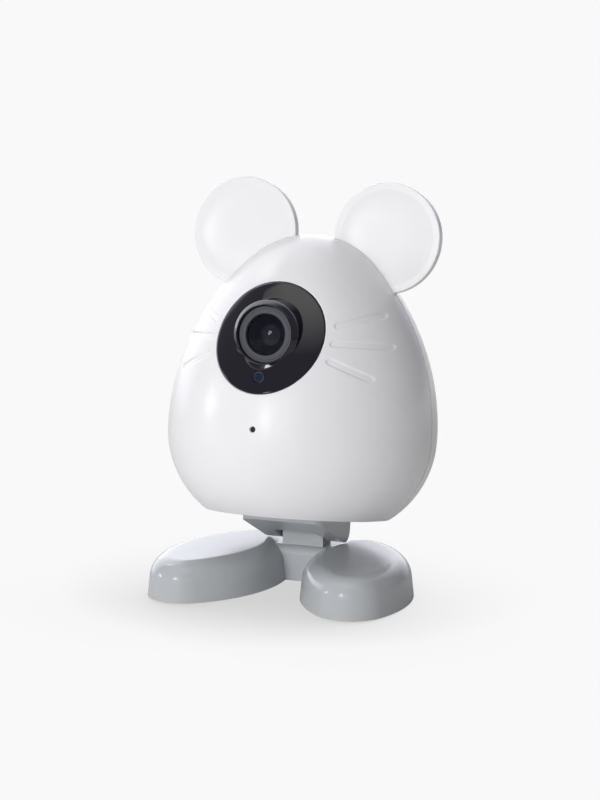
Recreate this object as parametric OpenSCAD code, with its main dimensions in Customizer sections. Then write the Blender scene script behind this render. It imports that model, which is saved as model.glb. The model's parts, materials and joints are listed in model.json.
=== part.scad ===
// Desk pet camera: an egg-shaped head with two round ears, tilting on a pin above two splayed feet.
// Millimetres. The origin lies on the floor in the mid-plane, +Z up, and the lens looks along -Y.
// Head pieces are drawn upright, with the middle of the egg's flat underside at their own origin,
// and in_head() then sets them on the hinge at the rest tilt.

/* [Egg] */
// Widest diameter of the egg
egg_w = 82; // [78:0.5:88]
// Height of the egg above its flat underside
egg_h = 85; // [82:0.5:92]
// Height of the widest point
belly_h = 25; // [24:0.5:27]
// Radius of the arc below the widest point
belly_r = 30.9; // [29:0.1:33]
// Radius of the ball-shaped crown
crown_r = 27.3; // [25:0.1:30]
// Wall of both shells
wall = 2.2; // [1.8:0.1:2.6]
// Place of the parting line behind the egg's axis
seam_y = 1; // [0:0.1:2]
// Open width of the parting line
seam_gap = 0.25; // [0.1:0.05:0.4]
// Reach of the rear shell's lip into the front shell
lip_reach = 2; // [1:0.1:3]
// Thickness of that lip
lip_t = 1; // [0.8:0.1:1.4]

/* [Ears] */
// Radius of an ear
ear_r = 16.8; // [14:0.1:18]
// Thickness of an ear
ear_t = 3; // [2.4:0.1:4]
// Sideways place of an ear's centre
ear_x = 23.1; // [21:0.1:25]
// Height of an ear's centre above the egg's underside
ear_z = 85; // [83:0.1:88]
// Width of the raised rim
ear_rim = 2.2; // [1.2:0.1:3]
// Depth of the dished face behind the rim
ear_dish = 0.5; // [0.3:0.1:0.8]
// Height of the small step where an ear's rim meets its dish
ear_step = 0.4; // [0.2:0.1:0.6]
// Rounding of an ear's outer edge
ear_edge = 0.4; // [0.2:0.1:1]
// Reach of an ear's bead inside the shell wall
ear_tongue = 2.6; // [2:0.1:4]

/* [Window and lens] */
// Radius of the round window hole
window_r = 16.7; // [15.5:0.1:17.5]
// Height of the window's centre
window_z = 52.9; // [50:0.1:55]
// Thickness of the window
window_t = 1.7; // [1.2:0.1:2.4]
// How far the window lies below the shell's surface
window_sink = 0.2; // [0.1:0.05:0.5]
// Thickness of the gasket behind the window
gasket_t = 0.3; // [0.2:0.05:0.6]
// Height of the lens axis
lens_z = 53.7; // [52:0.1:55]
// Outer radius of the lens collar
collar_r = 9.8; // [9.3:0.1:10.5]
// Reach of the collar in front of the egg's axis
collar_y = 36.7; // [35:0.1:38]
// Rounding of the collar's outer edge
collar_round = 0.8; // [0.3:0.05:0.9]
// Radius of the lens barrel's head
barrel_r = 8.2; // [7.2:0.1:8.4]
// How far the barrel's face lies inside the collar
barrel_sink = 1.6; // [1:0.1:2.5]
// Clear radius of the front lens
glass_r = 5.85; // [5:0.05:6.3]
// Radius of the light pipe below the lens
pipe_r = 1.65; // [1.2:0.05:2]
// Height of the light pipe
pipe_z = 41.2; // [39.5:0.1:42]

/* [Whiskers] */
// Width of a groove
groove_w = 2.3; // [1.6:0.1:3]
// Depth of a groove
groove_depth = 0.5; // [0.3:0.1:0.9]
// Sideways place of the grooves' inner ends
groove_x = 19.4; // [18.5:0.1:22]
// Height of the middle groove
groove_z = 52.3; // [50:0.1:55]
// Step in height from groove to groove
groove_step = 5.3; // [4:0.1:7]
// Angle at which the outer grooves fan out
groove_fan = 23.5; // [10:0.5:35]
// Lengths of the lower, middle and upper grooves
groove_len = [11, 12.5, 9.4]; // [6:0.1:14]

/* [Sound] */
// Height of the microphone hole
mic_z = 26; // [23:0.5:29]
// Radius of the microphone hole
mic_hole_r = 0.9; // [0.6:0.1:1.2]
// Radius of the microphone capsule
mic_r = 2; // [1.5:0.1:2.2]
// Radius of the speaker
speaker_r = 14; // [12:0.5:15]
// Height of the speaker's centre
speaker_z = 38; // [36.5:0.5:40]
// Radius of a speaker hole
grille_r = 0.8; // [0.5:0.1:1]
// Step between the speaker holes
grille_step = 3; // [2.6:0.1:3.2]
// Rings of speaker holes round the middle one
grille_rings = 3; // [2:1:3]

/* [Boards] */
// Thickness of the main board
board_t = 1.6; // [1:0.1:2]
// Height of the main board's lower face
board_z = 9.5; // [8.5:0.1:10.5]
// Distance from the main board's edge to the shell wall
board_edge = 2.25; // [1.5:0.05:4]
// Sideways place of the main board's screws
board_screw_x = 22; // [21.5:0.5:23]
// Place of the main board's screws in front of and behind the axis
board_screw_y = 14; // [12:0.5:15]
// Width of the power inlet
inlet_w = 7.6; // [7:0.1:9]
// Height of the power inlet
inlet_h = 2.7; // [2.4:0.1:3.2]
// Sideways place of the card socket
card_x = -12; // [-13:0.5:-11]
// Sideways place of the reset button
reset_x = 12; // [10.5:0.5:14]
// Radius of the reset button
reset_r = 1.5; // [1.2:0.1:1.8]
// Travel of the reset button
reset_travel = 0.6; // [0.3:0.1:0.8]

/* [Hinge] */
// Angle at which the head leans back at rest
rest_tilt = 10.2; // [0:0.1:20]
// Place of the hinge axis behind the origin
hinge_y = 3.1; // [0:0.1:6]
// Height of the hinge axis above the floor
hinge_z = 16.2; // [16.2:0.1:20]
// Place of the hinge axis behind the middle of the egg's underside
hinge_back = 8.75; // [7:0.05:10]
// Place of the hinge axis below the egg's underside
hinge_drop = 4.65; // [4.6:0.05:6]
// Radius of the hinge pin
pin_r = 1.5; // [1.2:0.1:1.8]
// Radius of the bracket's cheeks round the pin
cheek_r = 3.6; // [3.2:0.05:3.6]
// Radius of the knuckle round the pin
knuckle_r = 3.3; // [2.8:0.05:3.3]
// Width of the knuckle
knuckle_w = 13.2; // [10:0.2:14]
// Thickness of a friction washer
washer_t = 0.6; // [0.4:0.1:1]
// Width of the bracket
bracket_w = 25.8; // [24.6:0.2:30]
// Reach of the bracket in front of the middle of the egg's underside
bracket_front = 14; // [12:0.1:16]
// Height of the bracket's front lip
bracket_lip = 1.9; // [1.5:0.1:2.5]

/* [Feet] */
// Length of a foot
foot_l = 57; // [52:0.5:62]
// Width of a foot
foot_w = 34.1; // [31:0.1:36]
// Height of a foot above the floor
foot_h = 12.3; // [11.5:0.1:12.3]
// Rounding of a foot's upper edge
foot_round = 6.2; // [5:0.1:6.4]
// Angle at which a foot's side leans in
foot_draft = 6; // [2:0.5:8]
// Sideways place of a foot's middle
foot_x = 22.3; // [21.5:0.1:24]
// Place of the feet's middles in front of the hinge axis
foot_front = 15.75; // [13:0.05:18]
// Angle at which the feet splay
foot_splay = 14.7; // [8:0.1:18]
// Wall of a foot at its lower edge
foot_wall = 2; // [1.6:0.1:2.4]
// Height of the bridge between the heels
bridge_h = 11.2; // [10:0.1:11.4]
// Reach of the bridge in front of the hinge axis
bridge_front = 6; // [5:0.1:7]
// Reach of the bridge behind the hinge axis
bridge_back = 8; // [6:0.1:9]
// Rounding of the bridge's upper edges
bridge_round = 2.6; // [1.5:0.1:3]
// Radius of a rubber foot pad
pad_r = 5; // [4:0.1:6]
// Thickness of a rubber foot pad
pad_t = 1.2; // [1:0.1:1.6]
// How far the pads stand out below the feet
pad_proud = 0.5; // [0.3:0.1:0.7]
// Place of the pads and cover screws along a foot
pad_u = 19; // [17:0.1:20]

/* [Hidden] */
$fn = 96;

// Clearances
fit = 0.1;
run_fit = 0.06;
press_fit = 0.01;
screw_fit = 0.05;
part_gap = 0.3;
big = 200;

// Screws
screw_r = 1.1;
screw_head_r = 2.1;
screw_head_h = 1.5;
screw_bite = 5;
boss_t = 1.6;
boss_r = screw_r + screw_fit + boss_t;

// Egg profile
egg_r = egg_w / 2;
belly_x = egg_r - belly_r;
crown_z = egg_h - crown_r;
crown_rise = crown_z - belly_h;
flank_r = (egg_r ^ 2 + crown_rise ^ 2 - crown_r ^ 2) / (2 * (egg_r - crown_r));
flank_x = egg_r - flank_r;
flank_angle = atan2(crown_rise, -flank_x);

// Egg radius at a height above the underside, on the surface inset by i
function belly_reach(z, i) = belly_x + sqrt((belly_r - i) ^ 2 - (belly_h - z) ^ 2);
function flank_reach(z, i) = flank_x + sqrt((flank_r - i) ^ 2 - (z - belly_h) ^ 2);
function egg_reach(z, i) = z < belly_h ? belly_reach(z, i) : flank_reach(z, i);
// Depth of that surface behind or in front of the axis, at a place beside the mid-plane
function egg_depth(x, z, i) = sqrt(egg_reach(z, i) ^ 2 - x ^ 2);

// Ears
bead_r = crown_r - wall - 2 * part_gap;

// Window, collar and lens, as depths in front of the axis
seat_inset = window_sink + window_t + gasket_t;
seat_t = 1.5;
seat_ledge = 1.9;
seat_in_r = window_r - seat_ledge;
seat_out_r = window_r + seat_ledge;
collar_bore_r = barrel_r + fit;
collar_chamfer = 0.5;
collar_flange_w = 0.8;
collar_flange_r = collar_r + collar_flange_w;
collar_flange_t = 1;
barrel_y = collar_y - barrel_sink;
barrel_head = 6.5;
thread_r = 6;
thread_len = 12;
holder_wall = 1.9;
holder_y = 25;
sensor_y = 12;
sensor_board_t = 1.2;
sensor_post_x = 13;
sensor_post_z = 9.5;
sensor_edge = 0.9;
sensor_board_w = 2 * (sensor_post_x + screw_head_r + sensor_edge);
sensor_board_h = 2 * (sensor_post_z + screw_head_r + sensor_edge);
board_corner = 2;
sensor_screw_len = sensor_board_t + screw_bite;
holder_base = 16;
holder_base_t = 2;
chip_size = 7;
chip_t = 1;
filter_t = 0.5;
filter_size = 9;
lens_step = 1.2;
lens_sag = 1.1;
lens_edge = 0.5;
lens_ledge = 0.4;
front_lens_r = glass_r + lens_ledge;
front_lens_t = 1.8;
rear_lens_r = 4;
rear_lens_t = 1.6;
rear_ledge = 1;
iris_r = 2.4;
led_board_t = 1;
led_ring_r = 13.4;
led_count = 6;
led_size = 2.6;
led_t = 1.5;
led_gap = 1.3;
led_y = egg_depth(0, lens_z + led_ring_r, window_sink + window_t) - led_gap - led_t;
led_circle = (collar_flange_r + led_ring_r) / 2;
pipe_room = 1.3;
pipe_end_y = led_y + pipe_room;
pipe_flange_w = 0.8;
pipe_flange_r = pipe_r + pipe_flange_w;
pipe_flange_t = 0.8;
light_chip = [2, 1.3];
pipe_front_y = egg_depth(0, pipe_z, window_sink);
pipe_flange_y = egg_depth(0, pipe_z + pipe_flange_r, window_sink + window_t) - part_gap;

// Microphone, as depths in front of the axis
boot_wall = 1.3;
boot_r = mic_r + boot_wall;
boot_len = 3.2;
boot_y = egg_depth(boot_r, mic_z + boot_r, wall) - fit;
boot_web = 1.2;
mic_len = 1.8;

// Speaker, as depths behind the axis
speaker_ring_t = 1.7;
speaker_seat = 1;
speaker_y = egg_depth(0, speaker_z + speaker_r + speaker_ring_t, wall) - speaker_seat;
speaker_gasket_t = 0.5;
speaker_ring_h = 6;
speaker_rim_t = 1.2;
speaker_rim = 2;
speaker_plate_t = 1;
speaker_frame_h = 3;
magnet_r = 7.5;
magnet_h = 3.5;
cone_t = 0.4;
cone_drop = 1.6;
coil_r = 4;

// Main board and what stands on it
board_r = egg_reach(board_z, wall) - board_edge;
board_top = board_z + board_t;
inlet_len = 6.6;
inlet_out = 1.2;
inlet_y = egg_depth(0, board_top + inlet_h / 2, 0) - inlet_out;
inlet_z = board_top + inlet_h / 2;
inlet_wall = 0.35;
inlet_corner = 0.95;
plug_side = 2;
plug_rise = 1.8;
inlet_recess_w = inlet_w + 2 * plug_side;
inlet_recess_h = inlet_h + 2 * plug_rise;
tongue_t = 0.7;
tongue_len = 3.6;
card_w = 14;
card_len = 15;
card_h = 1.5;
card_slot_w = 11.6;
card_slot_h = 1.2;
card_mouth_y = egg_depth(abs(card_x) + card_w / 2, board_top, wall) - part_gap;
card_slot_z = board_top + card_h / 2;
reset_rise = 2.2;
reset_z = board_top + reset_rise;
reset_out_y = egg_depth(reset_x, reset_z, 0);
reset_land = 1;
reset_in_y = egg_depth(reset_x + reset_r + reset_land, reset_z - reset_r - reset_land, wall);
reset_flange_w = 0.8;
reset_flange_r = reset_r + reset_flange_w;
reset_flange_t = 1;
reset_stem_r = 1;
reset_switch_w = 6;
reset_switch_len = 4;
reset_switch_h = 4.2;
reset_gap = 1.6;
reset_flange_y = reset_in_y - part_gap;
reset_switch_y = reset_flange_y - reset_flange_t - reset_gap;
reset_stem_in = 1.2;
shield_w = 20;
shield_h = 2.8;
shield_y = 4;
shield_t = 0.3;
shield_corner = 1;
antenna_w = 12;
antenna_d = 4;
antenna_h = 1.2;
antenna_x = -18;
antenna_y = -5;
flex_w = 8;
flex_t = 0.3;
flex_side = 1.5;
plug_w = flex_w + 2 * flex_side;
plug_t = 2.5;
plug_h = 4;
plug_grip = 2.4;
flex_y = -(sensor_y - sensor_board_t) + plug_t / 2;
plug_lap = 1;
flex_top_z = lens_z - sensor_board_h / 2 + plug_lap;

// Shell screws run along Y, from a well in the rear shell into a post in the front shell
shell_screw_x = 25;
shell_screw_z = 44;
shell_screw_len = 14;
well_room = 0.4;
well_r = screw_head_r + well_room;
well_wall = 1.4;
well_floor = 3;
post_extra = 0.3;
post_r = boss_r + post_extra;

// Bracket screws run down from the rear shell's floor into the bracket's cheeks
washer_gap = fit;
slot_w = knuckle_w + 2 * (washer_t + 2 * washer_gap);
cheek_w = (bracket_w - slot_w) / 2;
bracket_screw_x = slot_w / 2 + cheek_w / 2;
pin_land = 1.9;
bracket_screw_y = hinge_back - pin_r - screw_r - pin_land;
bracket_screw_len = 6.2;
slot_front = 1.5;
slot_corner = 3;
slot_roof = hinge_drop - knuckle_r - part_gap;
bracket_corner = 2.5;
peg_r = 1.4;
peg_short = 0.2;
peg_h = wall - peg_short;
peg_x = 8.5;
peg_y = -8;
cap_rim = 0.8;
cap_r = pin_r + cap_rim;
cap_t = 0.9;
pin_blind = 1.4;

// Feet
// The oval's end arcs and side arcs meet along the slope of a 3-4-5 triangle
join_u = 0.6;
join_v = 0.8;
arc_step = (foot_l - foot_w) / 2 / (join_u + join_v - 1);
toe_u = join_u * arc_step;
side_v = join_v * arc_step;
toe_r = foot_l / 2 - toe_u;
side_r = toe_r + arc_step;
foot_y = hinge_y - foot_front;
sole_z = pad_proud;
cover_t = 2.6;
cover_top = sole_z + cover_t;
cavity_step = 2.6;
cavity_inset = foot_wall + cavity_step;
cavity_roof = 2.3;
cavity_top = foot_h - cavity_roof;
ballast_l = 28;
ballast_t = 5.6;
ballast_inset = cavity_inset + 2 * part_gap;
ballast_z = cover_top + screw_fit;
cover_screw_len = cover_t - pad_t - screw_head_h + pad_proud + screw_bite;

// Colours
white = "#f4f3f1";
gloss_black = "#121214";
ring_grey = "#4a4b4e";
base_grey = "#b9bbc4";
glass_tint = "#2b3950";
board_green = "#1f5a3c";
chip_black = "#1c1c1f";
metal = "#b8bac0";
rubber_black = "#2a2a2c";
copper = "#b9793f";

// Shared placing and shapes

// Sets an upright head piece on the hinge at the rest tilt
module in_head() {
    translate([0, hinge_y, hinge_z])
        rotate([-rest_tilt, 0, 0])
            translate([0, -hinge_back, hinge_drop])
                children();
}

// A cylinder along Y from depth y0 to depth y1, at a place in the front view
module along_y(x, z, r, y0, y1) {
    translate([x, y0, z])
        rotate([-90, 0, 0])
            cylinder(r = r, h = y1 - y0);
}

// A cylinder along X between two sideways places, at a place in the side view
module along_x(y, z, r, x0, x1) {
    translate([x0, y, z])
        rotate([0, 90, 0])
            cylinder(r = r, h = x1 - x0);
}

// A flat shape in the front view, extruded along Y from depth y0 to depth y1
module front_view(y0, y1) {
    translate([0, y1, 0])
        rotate([90, 0, 0])
            linear_extrude(y1 - y0)
                children();
}

// A flat shape in the side view (Y, Z), extruded along X about the mid-plane
module side_view(width) {
    rotate([90, 0, 90])
        translate([0, 0, -width / 2])
            linear_extrude(width)
                children();
}

// A flat bar with round ends, from the origin along +X
module stadium(length, width) {
    translate([0, -width / 2])
        square([length, width]);
    circle(d = width);
    translate([length, 0])
        circle(d = width);
}

// A flat rectangle about the origin with round corners
module round_rect(w, h, r) {
    square([w - 2 * r, h], center = true);
    square([w, h - 2 * r], center = true);
    for (sx = [-1, 1])
        for (sy = [-1, 1])
            translate([sx * (w / 2 - r), sy * (h / 2 - r)])
                circle(r);
}

// A pan-head screw pointing down, with the underside of its head at the origin
module screw(length) {
    translate([0, 0, -length])
        cylinder(r = screw_r, h = length);
    cylinder(r = screw_head_r, h = screw_head_h);
}

// Half of the egg's outline right of its axis, with every surface moved in by i
module egg_half(i) {
    joint_z = belly_h + (flank_r - i) * sin(flank_angle);
    intersection() {
        translate([0, i])
            square([egg_r, belly_h - i]);
        union() {
            square([belly_x, belly_h]);
            translate([belly_x, belly_h])
                circle(belly_r - i);
        }
    }
    intersection() {
        translate([0, belly_h])
            square([egg_r, joint_z - belly_h]);
        translate([flank_x, belly_h])
            circle(flank_r - i);
    }
    intersection() {
        translate([0, joint_z])
            square([egg_r, egg_h]);
        translate([0, crown_z])
            circle(crown_r - i);
    }
}

// The egg as a solid, with its surface moved in by i. The revolve starts at the back of the egg,
// or at its front for pieces of the rear half, so that its start line stays off the piece.
module egg(i = 0, rear = false) {
    rotate(rear ? -90 : 90)
        rotate_extrude()
            egg_half(i);
}

// The skin of the egg between two insets
module egg_skin(outer, inner, rear = false) {
    difference() {
        egg(outer, rear);
        egg(inner, rear);
    }
}

// Everything in front of the parting line
module front_space() {
    translate([-big / 2, seam_y - seam_gap / 2 - big, -big / 2])
        cube(big);
}

// Everything behind the parting line
module rear_space() {
    translate([-big / 2, seam_y + seam_gap / 2, -big / 2])
        cube(big);
}

// The disc and the inner bead of both ears, grown by a gap: the room that they need in the shells
module ear_room(gap) {
    for (side = [-1, 1])
        along_y(side * ear_x, ear_z, ear_r + gap, seam_y - ear_t / 2 - gap, seam_y + ear_t / 2 + gap);
}

// Front shell

module whisker_grooves() {
    difference() {
        for (side = [0, 1])
            mirror([side, 0, 0])
                for (row = [0 : 2])
                    front_view(-egg_r, -wall)
                        translate([groove_x, groove_z + (row - 1) * groove_step])
                            rotate((row - 1) * groove_fan)
                                stadium(groove_len[row], groove_w);
        egg(groove_depth);
    }
}

// Ring behind the window hole, and the posts that carry the sensor board
module window_seat() {
    intersection() {
        egg(wall / 2);
        union() {
            difference() {
                along_y(0, window_z, seat_out_r, -egg_r, -wall);
                egg(seat_inset + seat_t);
            }
            for (sx = [-1, 1])
                for (sz = [-1, 1])
                    along_y(sx * sensor_post_x, lens_z + sz * sensor_post_z, boss_r, -egg_r, -sensor_y);
        }
    }
}

module front_posts() {
    intersection() {
        egg(wall / 2);
        union() {
            for (side = [-1, 1]) {
                along_y(side * shell_screw_x, shell_screw_z, post_r, -egg_r, seam_y - seam_gap / 2);
                translate([side * board_screw_x, -board_screw_y, 0])
                    cylinder(r = boss_r, h = board_z);
            }
            along_y(0, mic_z, boot_r + fit + boss_t, -egg_r, -boot_y + boot_len);
        }
    }
}

module front_shell() {
    color(white)
        in_head()
            difference() {
                union() {
                    intersection() {
                        egg_skin(0, wall);
                        front_space();
                    }
                    window_seat();
                    front_posts();
                }
                whisker_grooves();
                difference() {
                    along_y(0, window_z, window_r, -egg_r, -wall);
                    egg(seat_inset);
                }
                along_y(0, window_z, seat_in_r, -egg_r, -sensor_y - part_gap);
                along_y(0, mic_z, mic_hole_r, -egg_r, -wall);
                along_y(0, mic_z, boot_r + fit, -boot_y, -boot_y + 2 * boot_len);
                ear_room(fit);
                for (side = [-1, 1]) {
                    along_y(
                        side * shell_screw_x, shell_screw_z, screw_r + screw_fit,
                        seam_y - shell_screw_len, seam_y
                    );
                    translate([side * board_screw_x, -board_screw_y, wall])
                        cylinder(r = screw_r + screw_fit, h = board_z);
                    translate([side * peg_x, peg_y, -wall])
                        cylinder(r = peg_r + fit, h = 3 * wall);
                    for (sz = [-1, 1])
                        along_y(
                            side * sensor_post_x, lens_z + sz * sensor_post_z, screw_r + screw_fit,
                            -sensor_y - screw_bite - 1, -sensor_y + 1
                        );
                }
            }
}

// Rear shell

module seam_lip() {
    difference() {
        intersection() {
            union() {
                intersection() {
                    egg_skin(wall + fit, wall + fit + lip_t, true);
                    translate([-big / 2, seam_y - lip_reach, board_z])
                        cube([big, lip_reach + seam_gap, big]);
                }
                intersection() {
                    egg_skin(wall / 2, wall + fit + lip_t, true);
                    translate([-big / 2, seam_y + seam_gap / 2, board_z])
                        cube([big, lip_reach, big]);
                }
            }
            translate([-big / 2, -big / 2, board_top + part_gap])
                cube(big);
        }
        for (side = [-1, 1])
            along_y(side * ear_x, ear_z, ear_r + part_gap, seam_y - 2 * lip_reach, seam_y + 2 * lip_reach);
    }
}

module rear_posts() {
    intersection() {
        egg(wall / 2, true);
        union() {
            for (side = [-1, 1]) {
                along_y(
                    side * shell_screw_x, shell_screw_z, well_r + well_wall,
                    seam_y + seam_gap / 2, egg_r
                );
                translate([side * board_screw_x, board_screw_y, 0])
                    cylinder(r = boss_r, h = board_z);
            }
            difference() {
                along_y(0, speaker_z, speaker_r + speaker_ring_t, speaker_y - speaker_ring_h, egg_r);
                along_y(0, speaker_z, speaker_r + fit, 0, speaker_y);
                along_y(0, speaker_z, speaker_r - speaker_rim, 0, egg_r);
            }
        }
    }
}

module grille_holes() {
    along_y(0, speaker_z, grille_r, speaker_y, egg_r);
    for (ring = [1 : grille_rings])
        for (k = [0 : 6 * ring - 1])
            along_y(
                ring * grille_step * cos(60 * k / ring), speaker_z + ring * grille_step * sin(60 * k / ring),
                grille_r, speaker_y, egg_r
            );
}

module rear_shell() {
    color(white)
        in_head()
            difference() {
                union() {
                    intersection() {
                        egg_skin(0, wall, true);
                        rear_space();
                    }
                    seam_lip();
                    rear_posts();
                }
                grille_holes();
                ear_room(fit);
                for (side = [-1, 1]) {
                    along_y(
                        side * shell_screw_x, shell_screw_z, well_r,
                        seam_y + well_floor, egg_r
                    );
                    along_y(
                        side * shell_screw_x, shell_screw_z, screw_r + fit,
                        seam_y, seam_y + 2 * well_floor
                    );
                    translate([side * board_screw_x, board_screw_y, wall])
                        cylinder(r = screw_r + screw_fit, h = board_z);
                    translate([side * bracket_screw_x, bracket_screw_y, -wall])
                        cylinder(r = screw_r + fit, h = 3 * wall);
                }
                front_view(inlet_y - inlet_len, egg_r)
                    translate([0, inlet_z])
                        round_rect(inlet_w + 2 * part_gap, inlet_h + 2 * part_gap, inlet_h / 2);
                front_view(inlet_y, egg_r)
                    translate([0, inlet_z])
                        round_rect(inlet_recess_w, inlet_recess_h, inlet_recess_h / 2 - fit);
                front_view(card_mouth_y, egg_r)
                    translate([card_x, card_slot_z])
                        square([card_slot_w, card_slot_h], center = true);
                along_y(reset_x, reset_z, reset_r + run_fit, 0, egg_r);
            }
}

// Ears

// An ear with the thicker bead that keeps it in the shells, bounded by circles about the crown's centre
module ear(side) {
    color(white)
        in_head()
            difference() {
                union() {
                    translate([side * ear_x, seam_y, ear_z])
                        rotate([90, 0, 0])
                            rotate_extrude()
                                ear_half();
                    intersection() {
                        along_y(side * ear_x, ear_z, ear_r - fit, seam_y - ear_t, seam_y + ear_t);
                        along_y(0, crown_z, bead_r, -egg_r, egg_r);
                    }
                }
                along_y(0, crown_z, bead_r - ear_tongue, -egg_r, egg_r);
            }
}

// Half section of an ear: a plain edge, a raised rim and a dished face on the front
module ear_half() {
    dish_r = ear_r - ear_rim;
    dish_ball = (dish_r ^ 2 + ear_dish ^ 2) / (2 * ear_dish);
    difference() {
        union() {
            translate([0, -ear_t / 2])
                square([ear_r - ear_edge, ear_t]);
            translate([0, ear_edge - ear_t / 2])
                square([ear_r, ear_t - 2 * ear_edge]);
            for (sy = [-1, 1])
                translate([ear_r - ear_edge, sy * (ear_t / 2 - ear_edge)])
                    circle(ear_edge);
        }
        intersection() {
            translate([0, ear_t / 2 - ear_step - ear_dish + dish_ball])
                circle(dish_ball, $fn = 720);
            translate([0, -ear_t / 2])
                square([dish_r, 2 * ear_t]);
        }
    }
}

module left_ear() {
    ear(-1);
}

module right_ear() {
    ear(1);
}

// Window and lens

// Half section of the collar, with its height along the lens axis towards the front
module collar_half() {
    length = collar_y - led_y;
    difference() {
        union() {
            square([collar_r - collar_round, length]);
            square([collar_r, length - collar_round]);
            translate([collar_r - collar_round, length - collar_round])
                circle(collar_round);
            square([collar_flange_r, collar_flange_t]);
        }
        translate([0, -1])
            square([collar_bore_r, length + 2]);
        polygon([
            [collar_bore_r - 1, length + 1],
            [collar_bore_r - 1, length - collar_chamfer - 1],
            [collar_bore_r + collar_chamfer + 1, length + 1]
        ]);
    }
}

module lens_window() {
    color(gloss_black)
        in_head() {
            difference() {
                intersection() {
                    along_y(0, window_z, window_r - fit, -egg_r, -wall);
                    egg_skin(window_sink, window_sink + window_t);
                }
                along_y(0, lens_z, collar_r - collar_round, -egg_r, -wall);
                along_y(0, lens_z, collar_r, -egg_r, -collar_y + collar_round);
                along_y(0, pipe_z, pipe_r + fit, -egg_r, -wall);
            }
            translate([0, -led_y, lens_z])
                rotate([90, 0, 0])
                    rotate_extrude()
                        collar_half();
        }
}

module window_gasket() {
    color(rubber_black)
        in_head()
            difference() {
                intersection() {
                    along_y(0, window_z, window_r - fit, -egg_r, -wall);
                    egg_skin(window_sink + window_t, seat_inset);
                }
                along_y(0, window_z, seat_in_r, -egg_r, -wall);
            }
}

// Half section of the barrel, with its height along the lens axis towards the front
module barrel_half() {
    length = barrel_head + thread_len;
    face = length - lens_step;
    difference() {
        union() {
            square([thread_r, length]);
            translate([0, thread_len])
                square([barrel_r, barrel_head]);
        }
        translate([0, face])
            polygon([[0, 0], [glass_r, 0], [glass_r + lens_edge, 2 * lens_step], [0, 2 * lens_step]]);
        translate([0, face - front_lens_t])
            square([front_lens_r, front_lens_t]);
        translate([0, rear_lens_t])
            polygon([
                [0, 0],
                [rear_lens_r - rear_ledge, 0],
                [iris_r, thread_len / 2],
                [front_lens_r - rear_ledge, face - front_lens_t],
                [0, face - front_lens_t]
            ]);
        translate([0, -1])
            square([rear_lens_r, rear_lens_t + 1]);
    }
}

// Sets a flat half section on the lens axis, with its foot at a depth in front of the egg's axis
module on_lens_axis(depth) {
    translate([0, -depth, lens_z])
        rotate([90, 0, 0])
            rotate_extrude()
                children();
}

module lens_barrel() {
    color(ring_grey)
        in_head()
            on_lens_axis(barrel_y - barrel_head - thread_len)
                barrel_half();
}

// Half section of a plano-convex lens: a cylinder whose upper face is part of a ball
module convex_half(r, thickness, sag) {
    ball = (r ^ 2 + sag ^ 2) / (2 * sag);
    square([r, thickness]);
    intersection() {
        translate([0, thickness])
            square([r, sag]);
        translate([0, thickness + sag - ball])
            circle(ball);
    }
}

module front_lens() {
    color(glass_tint)
        in_head()
            on_lens_axis(barrel_y - lens_step - front_lens_t) {
                square([front_lens_r - screw_fit, front_lens_t - screw_fit]);
                convex_half(glass_r - screw_fit, front_lens_t - screw_fit, lens_sag);
            }
}

module rear_lens() {
    color(glass_tint)
        in_head()
            on_lens_axis(barrel_y - barrel_head - thread_len)
                square([rear_lens_r - screw_fit, rear_lens_t - screw_fit]);
}

// Half section of the holder's tube round the barrel's thread
module holder_half() {
    translate([thread_r + screw_fit, 0])
        square([holder_wall, holder_y - sensor_y - holder_base_t]);
}

module lens_holder() {
    color(chip_black)
        in_head() {
            on_lens_axis(sensor_y + holder_base_t)
                holder_half();
            difference() {
                front_view(-sensor_y - holder_base_t, -sensor_y)
                    translate([0, lens_z])
                        round_rect(holder_base, holder_base, board_corner);
                front_view(-sensor_y - chip_t - part_gap, 0)
                    translate([0, lens_z])
                        square(chip_size + 2 * part_gap, center = true);
                along_y(0, lens_z, rear_lens_r, -egg_r, 0);
                front_view(-sensor_y - 2 * holder_base_t, -sensor_y - holder_base_t + filter_t)
                    translate([0, lens_z])
                        square(filter_size + 2 * screw_fit, center = true);
            }
        }
}

module infrared_filter() {
    color(glass_tint)
        in_head()
            front_view(-sensor_y - holder_base_t, -sensor_y - holder_base_t + filter_t)
                translate([0, lens_z])
                    square(filter_size, center = true);
}

module image_sensor() {
    color(chip_black)
        in_head()
            front_view(-sensor_y - chip_t, -sensor_y)
                translate([0, lens_z])
                    square(chip_size, center = true);
}

module sensor_board() {
    color(board_green)
        in_head()
            difference() {
                front_view(-sensor_y, -sensor_y + sensor_board_t)
                    translate([0, lens_z])
                        round_rect(sensor_board_w, sensor_board_h, board_corner);
                for (sx = [-1, 1])
                    for (sz = [-1, 1])
                        along_y(
                            sx * sensor_post_x, lens_z + sz * sensor_post_z, screw_r + fit,
                            -2 * sensor_y, 0
                        );
            }
}

module sensor_screws() {
    color(metal)
        in_head()
            for (sx = [-1, 1])
                for (sz = [-1, 1])
                    translate([sx * sensor_post_x, -sensor_y + sensor_board_t, lens_z + sz * sensor_post_z])
                        rotate([-90, 0, 0])
                            screw(sensor_screw_len);
}

module lamp_board() {
    color(board_green)
        in_head()
            difference() {
                along_y(0, lens_z, led_ring_r, -led_y, -led_y + led_board_t);
                along_y(0, lens_z, collar_bore_r, -egg_r, 0);
            }
}

module infrared_lamps() {
    color(gloss_black)
        in_head()
            for (k = [0 : led_count - 1])
                translate([0, 0, lens_z])
                    rotate([0, 60 * k, 0])
                        translate([led_circle, -led_y - led_t / 2, 0])
                            cube([led_ring_r - collar_flange_r - part_gap, led_t, led_size], center = true);
}

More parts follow.
